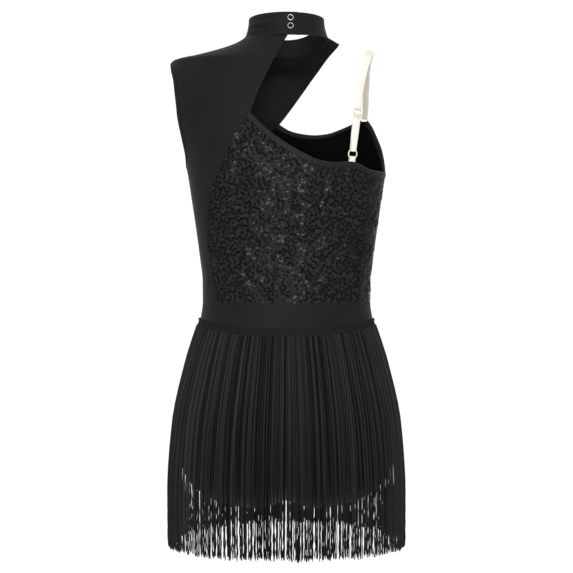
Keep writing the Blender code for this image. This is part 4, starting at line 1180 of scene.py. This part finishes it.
def strands():
    """Twisted yarns that hang from the header, drawn together into locks towards their ends."""
    dice = np.random.default_rng(5)
    shares = np.concatenate([np.linspace(0.0, 0.70, 11), np.linspace(0.70, 1.0, 17)[1:]])
    turns = circle(STRAND_SIDES)
    ring = np.linspace(0.0, 2 * math.pi, 1441)
    arcs = steps_along(figure(ring, run_at(tape_top(ring) - TAPE_HEIGHT)))
    centres = (np.arange(LOCKS) + dice.uniform(-0.38, 0.38, LOCKS)) / LOCKS
    pulls = dice.normal(0.0, 0.45, LOCKS)
    drops = dice.normal(0.0, 1.0, LOCKS)
    sinks = dice.normal(0.0, 0.8, STRANDS)
    wide, back, front = (hermite(FRINGE_FALL[:, 0], FRINGE_FALL[:, k], shares) for k in (1, 2, 3))
    points, faces, uv = [], [], []
    for i in range(STRANDS):
        where = (i + dice.uniform(-0.45, 0.45)) / STRANDS % 1.0
        apart = (centres - where + 0.5) % 1.0 - 0.5
        lock = int(abs(apart).argmin())
        places = (where + apart[lock] * dice.uniform(0.05, 0.55) * shares ** 4) % 1.0
        angles = np.interp(places * arcs[-1], arcs, ring)
        c, s = np.cos(angles), np.sin(angles)
        wave = dice.uniform(0, 2 * math.pi, 4)
        sizes = dice.normal(0.0, 1.0, 2) * (0.5, 0.35)
        base = float(tape_top(angles[0])) - TAPE_HEIGHT + 1.4
        end = FRINGE_END + (-FRINGE_BACK_DIP if s[-1] >= 0 else FRINGE_FRONT_RISE) * s[-1] ** 2
        end += min(max(drops[lock] + dice.normal(0.0, 1.3), -3.0), 5.0)
        radius = 0.55 * dice.uniform(0.85, 1.15)
        deep = np.where(s >= 0, back, front)
        spots = np.stack([wide * powered(c), deep * powered(s), base + (end - base) * shares], axis=-1)
        along = unit(np.stack([-wide * s, deep * c, np.zeros_like(s)], axis=-1))
        out = np.stack([along[:, 1], -along[:, 0], np.zeros_like(s)], axis=-1)
        loose = np.clip((shares - 0.66) / 0.34, 0.0, 1.0) ** 1.5
        curl = dice.uniform(0.15, 0.7)
        wander = (
            sizes[0] * (np.sin(2.1 * shares + wave[0]) - math.sin(wave[0])) + pulls[lock] * shares ** 2
            + shares * sizes[1] * np.sin(6.5 * shares + wave[1])
            + loose * curl * (np.sin(95.0 * shares + wave[2]) + 0.6 * np.sin(52.0 * shares + wave[3]))
        )
        depth = (0.45 if i % 2 else -0.45) + 0.5 * shares * np.sin(4.0 * shares + wave[1])
        depth += 0.45 * sinks[i] * (1 - shares)
        depth += loose * curl * 0.9 * np.cos(95.0 * shares + wave[2])
        middles = spots + along * wander[:, None] + out * (np.maximum(depth, -0.7) + 1.3)[:, None]
        ways = unit(np.gradient(middles, axis=0))
        one = unit(np.cross(ways, out))
        two = np.cross(ways, one)
        size = radius * (0.96 + 0.32 * loose) * np.where(shares < 0.999, 1.0, 0.6)
        faces += swept_faces(len(middles), STRAND_SIDES, False, len(points))
        rounds = [
            middles + (one * math.cos(turn) + two * math.sin(turn)) * size[:, None] for turn in turns
        ]
        points.extend(np.stack(rounds, axis=1).reshape(-1, 3))
        # The whole part of u is the strand's number, so each has a shade of its own.
        uv.extend((i + turn / (2 * math.pi) * UV_TURN, far) for far in steps_along(middles) * MM for turn in turns)
    return add_mesh("fringe_strands", points, faces, YARN, uv=uv)


fringe_band = tape()
strands()


# The strap

STRAP_WIDTH = 10.0
STRAP_THICK = 1.0
# Across, height, side, lift off the figure.
STRAP_LINE = [
    (-100, -95.5, -1, 0), (-101.5, -80, -1, 0), (-102, -62, -1, 0), (-102.5, -46, -1, 0.5),
    (-102.5, -30, -1, 1.5), (-101, -16.5, 0, 3), (-98.5, -27, 1, 1.5), (-95.5, -37, 1, 0.5),
    (-92.2, -50, 1, 0), (-89.3, -66, 1, 0), (-86.8, -86, 1, 0), (-84.7, -107, 1, 0),
    (-82.5, -125, 1, 0), (-80.5, -144.2, 1, 0),
]
RING_RADIUS = 6.0
RING_WIRE = 0.75
SLIDER_FROM_RING = 50.0
SLIDER_THICK = 1.2
STRAP_AT_RING = 7.2
TAB_REACH = 9.3
LAYER = STRAP_THICK + CAD_SEAM_GAP
TURN = RING_WIRE + CAD_SEAM_GAP + STRAP_THICK / 2
RING_SAG = RING_RADIUS - math.sqrt(RING_RADIUS ** 2 - (STRAP_AT_RING / 2) ** 2)
# One side of the band's section: side, inset from the edge, share of half the thickness.
BAND_OUTLINE = [
    (-1, 0.35, -1), (0, 0, -1), (1, 0.35, -1), (1, 0.08, -0.6), (1, 0, 0), (1, 0.08, 0.6),
    (1, 0.35, 1), (0, 0, 1), (-1, 0.35, 1), (-1, 0.08, 0.6), (-1, 0, 0), (-1, 0.08, -0.6),
]


class StrapPath:
    """The strap's middle line on the figure, with the directions along, across and out."""

    def __init__(self):
        spots = np.array([
            place(x, z, side) if side else (math.pi, run_at(z)) for x, z, side, _ in STRAP_LINE
        ])
        solid = figure(*spots.T) + outward(*spots.T) * np.array(STRAP_LINE)[:, 3:]
        steps = steps_along(solid)
        self.line = smoothed(steps, solid, np.linspace(0.0, steps[-1], 400))
        for _ in range(25):
            self.line[1:-1] = (self.line[:-2] + 2 * self.line[1:-1] + self.line[2:]) / 4
        self.at = steps_along(self.line)
        self.length = self.at[-1]
        middle = np.array([self.line[:, 0].mean() + 60.0, 0.0, -110.0])
        self.along = unit(np.gradient(self.line, axis=0))
        rough = self.line - middle
        self.out = unit(rough - self.along * np.sum(rough * self.along, axis=1, keepdims=True))

    def frame(self, distance):
        """(point, across, out) at a distance from the front end, also past either end."""
        inside = min(max(distance, 0.0), self.length)
        point, along, out = (between(self.at, rows, inside) for rows in (self.line, self.along, self.out))
        along = unit(along)
        out = unit(out - along * (out @ along))
        return point + along * (distance - inside), np.cross(out, along), out


def band(name, path, stations, replaces):
    """A flat band with round edges through stations of (distance, height above the path, width)."""
    count = len(stations)
    stations = smoothed(np.arange(count), np.array(stations), np.linspace(0, count - 1, count * 3 - 2))
    centres, acrosses = [], []
    for distance, height, _ in stations:
        point, across, out = path.frame(distance)
        centres.append(point + out * height)
        acrosses.append(across)
    sections = []
    for centre, across, way, width in zip(centres, acrosses, np.gradient(centres, axis=0), stations[:, 2]):
        face = unit(np.cross(way, across)) * STRAP_THICK / 2
        sections.append([
            centre + across * side * (width / 2 - inset) + face * share for side, inset, share in BAND_OUTLINE
        ])
    swept(name, sections, ELASTIC, replaces=replaces)


def round_ring(legs, start, way):
    """A leg of stations to the ring, round its wire and back as a second layer. Way is up or down."""
    turn = [
        (start + way * TURN * math.sin(angle), TURN * math.cos(angle) - LAYER / 2, STRAP_AT_RING)
        for angle in np.radians((15, 45, 75, 105, 135, 165))
    ]
    return [*legs, *turn, *((at, -LAYER - height, width) for at, height, width in reversed(legs))]


def strap_stations(ring):
    slider = ring - SLIDER_FROM_RING
    crown = ring - RING_RADIUS
    narrow = STRAP_WIDTH - 0.4
    rise = SLIDER_THICK + 2 * CAD_SEAM_GAP + STRAP_THICK
    stations = [(CAD_SEAM_GAP + 1.0 + s, 0.0, STRAP_WIDTH) for s in np.linspace(0.0, slider - 10.0, 26)]
    for s in (-6.0, -4.4, -3.6, -2.8, -2.0, -1.2, -0.6, 0.6, 1.2, 2.0, 2.8, 3.6, 4.4, 6.0):
        stations.append((slider + s, rise * smooth_step((4.1 - abs(s)) / 3.2), narrow))
    legs = []
    for share in np.linspace(0.15, 1.0, 7):
        ease = smooth_step(share)
        width = STRAP_WIDTH + (STRAP_AT_RING - STRAP_WIDTH) * ease ** 3
        legs.append((slider + 8.0 + (crown - slider - 8.0) * share, ease ** 4 * (TURN - LAYER / 2), width))
    stations += round_ring(legs, crown + RING_SAG, 1)
    for s in (6.0, 3.0, 0.0):
        height = -LAYER + smooth_step((5.0 - s) / 4.0) * (LAYER - CAD_SEAM_GAP)
        stations.append((slider + s, height, narrow))
    return stations


def tab_stations(ring):
    foot = ring + TAB_REACH
    reach = ring + RING_RADIUS + 0.6 - foot
    legs = [
        (foot + reach * share, share ** 2 * (TURN - LAYER / 2), 9.0 - 1.8 * share)
        for share in np.linspace(0.0, 1.0, 4)
    ]
    return round_ring(legs, ring + RING_RADIUS - RING_SAG, -1)


def bevelled(name, node, width, finish):
    """The CAD piece with its sharp edges rounded."""
    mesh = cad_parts[node].data.copy()
    mesh.name = name
    mesh.materials.clear()
    mesh.materials.append(finish[0])
    skin = bmesh.new()
    skin.from_mesh(mesh)
    bmesh.ops.remove_doubles(skin, verts=skin.verts, dist=1e-6)
    sharp = [e for e in skin.edges if len(e.link_faces) == 2 and e.calc_face_angle() > 0.6]
    bmesh.ops.bevel(skin, geom=sharp, offset=width * MM, segments=3, affect="EDGES", profile=0.6)
    skin.to_mesh(mesh)
    skin.free()
    mesh.shade_smooth()
    add_piece(name, mesh, node)


STRAP_PATH = StrapPath()
band("strap_ribbon", STRAP_PATH, strap_stations(STRAP_PATH.length), "shoulder_strap")
band("tab_ribbon", STRAP_PATH, tab_stations(STRAP_PATH.length), "strap_tab")
bevelled("slider_buckle", "strap_slider", 0.3, PLASTIC)
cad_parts["strap_ring"].material_slots[0].material = PLASTIC[0]


# Room, light and camera

def stage():
    """A pale floor that sweeps up behind the garment."""
    profile = [(9.0, -1.6), (-3.2, -1.6)]
    for turn in np.radians(np.linspace(0, 90, 12)):
        profile.append((-3.2 - 2.0 * math.sin(turn), 0.4 - 2.0 * math.cos(turn)))
    profile.append((-5.2, 6.0))
    points = [(x, y, z) for y, z in profile for x in (-9.0, 9.0)]
    faces = [(2 * i, 2 * i + 1, 2 * i + 3, 2 * i + 2) for i in range(len(profile) - 1)]
    mesh = bpy.data.meshes.new("floor")
    mesh.from_pydata(points, [], faces)
    mesh.shade_smooth()
    n = Nodes("pale_floor")
    mesh.materials.append(n.shaded(Base_Color=n.ramp(n.noise(3.0), 0.93, 0.95, (0.0, 1.0)), Roughness=0.9))
    link("floor", mesh)


def light(name, at, to, size, power):
    lamp = bpy.data.lights.new(name, "AREA")
    lamp.shape, lamp.size, lamp.energy = "SQUARE", size, power
    made = link(name, lamp)
    made.location = at
    x, y, z = np.subtract(to, at)
    made.rotation_euler = (math.atan2(z, math.hypot(x, y)) + math.pi / 2, 0.0, math.atan2(y, x) - math.pi / 2)


stage()
world = bpy.data.worlds.new("room")
world.use_nodes = True
background = world.node_tree.nodes["Background"]
background.inputs["Color"].default_value = (1.0, 1.0, 1.0, 1.0)
background.inputs["Strength"].default_value = 1.05
bpy.context.scene.world = world
bpy.context.scene.view_settings.view_transform = "Standard"
light("key", (0.1, 2.7, -0.28), (0.0, 0.0, -0.25), 0.5, 40.0)
light("top", (0.0, 1.3, 1.6), (0.0, 0.0, -0.3), 1.2, 14.0)
light("left_fill", (2.4, 1.2, 0.3), (0.0, 0.0, -0.3), 1.4, 3.5)
light("right_fill", (-2.4, 1.2, 0.3), (0.0, 0.0, -0.3), 1.4, 3.5)

SCALE_MM = 1.25
CAMERA_AWAY = 2.3
CAMERA_HEIGHT = -0.24
FRAME_MIDDLE = -0.306875
camera = bpy.data.cameras.new("camera")
camera.sensor_width = 36.0
frame_wide = 573 * SCALE_MM * MM
camera.lens = camera.sensor_width * CAMERA_AWAY / frame_wide
camera.shift_y = (FRAME_MIDDLE - CAMERA_HEIGHT) / frame_wide
camera_object = link("camera", camera)
camera_object.location = (0.0, CAMERA_AWAY, CAMERA_HEIGHT)
camera_object.rotation_euler = (math.pi / 2, 0.0, math.pi)
bpy.context.scene.camera = camera_object
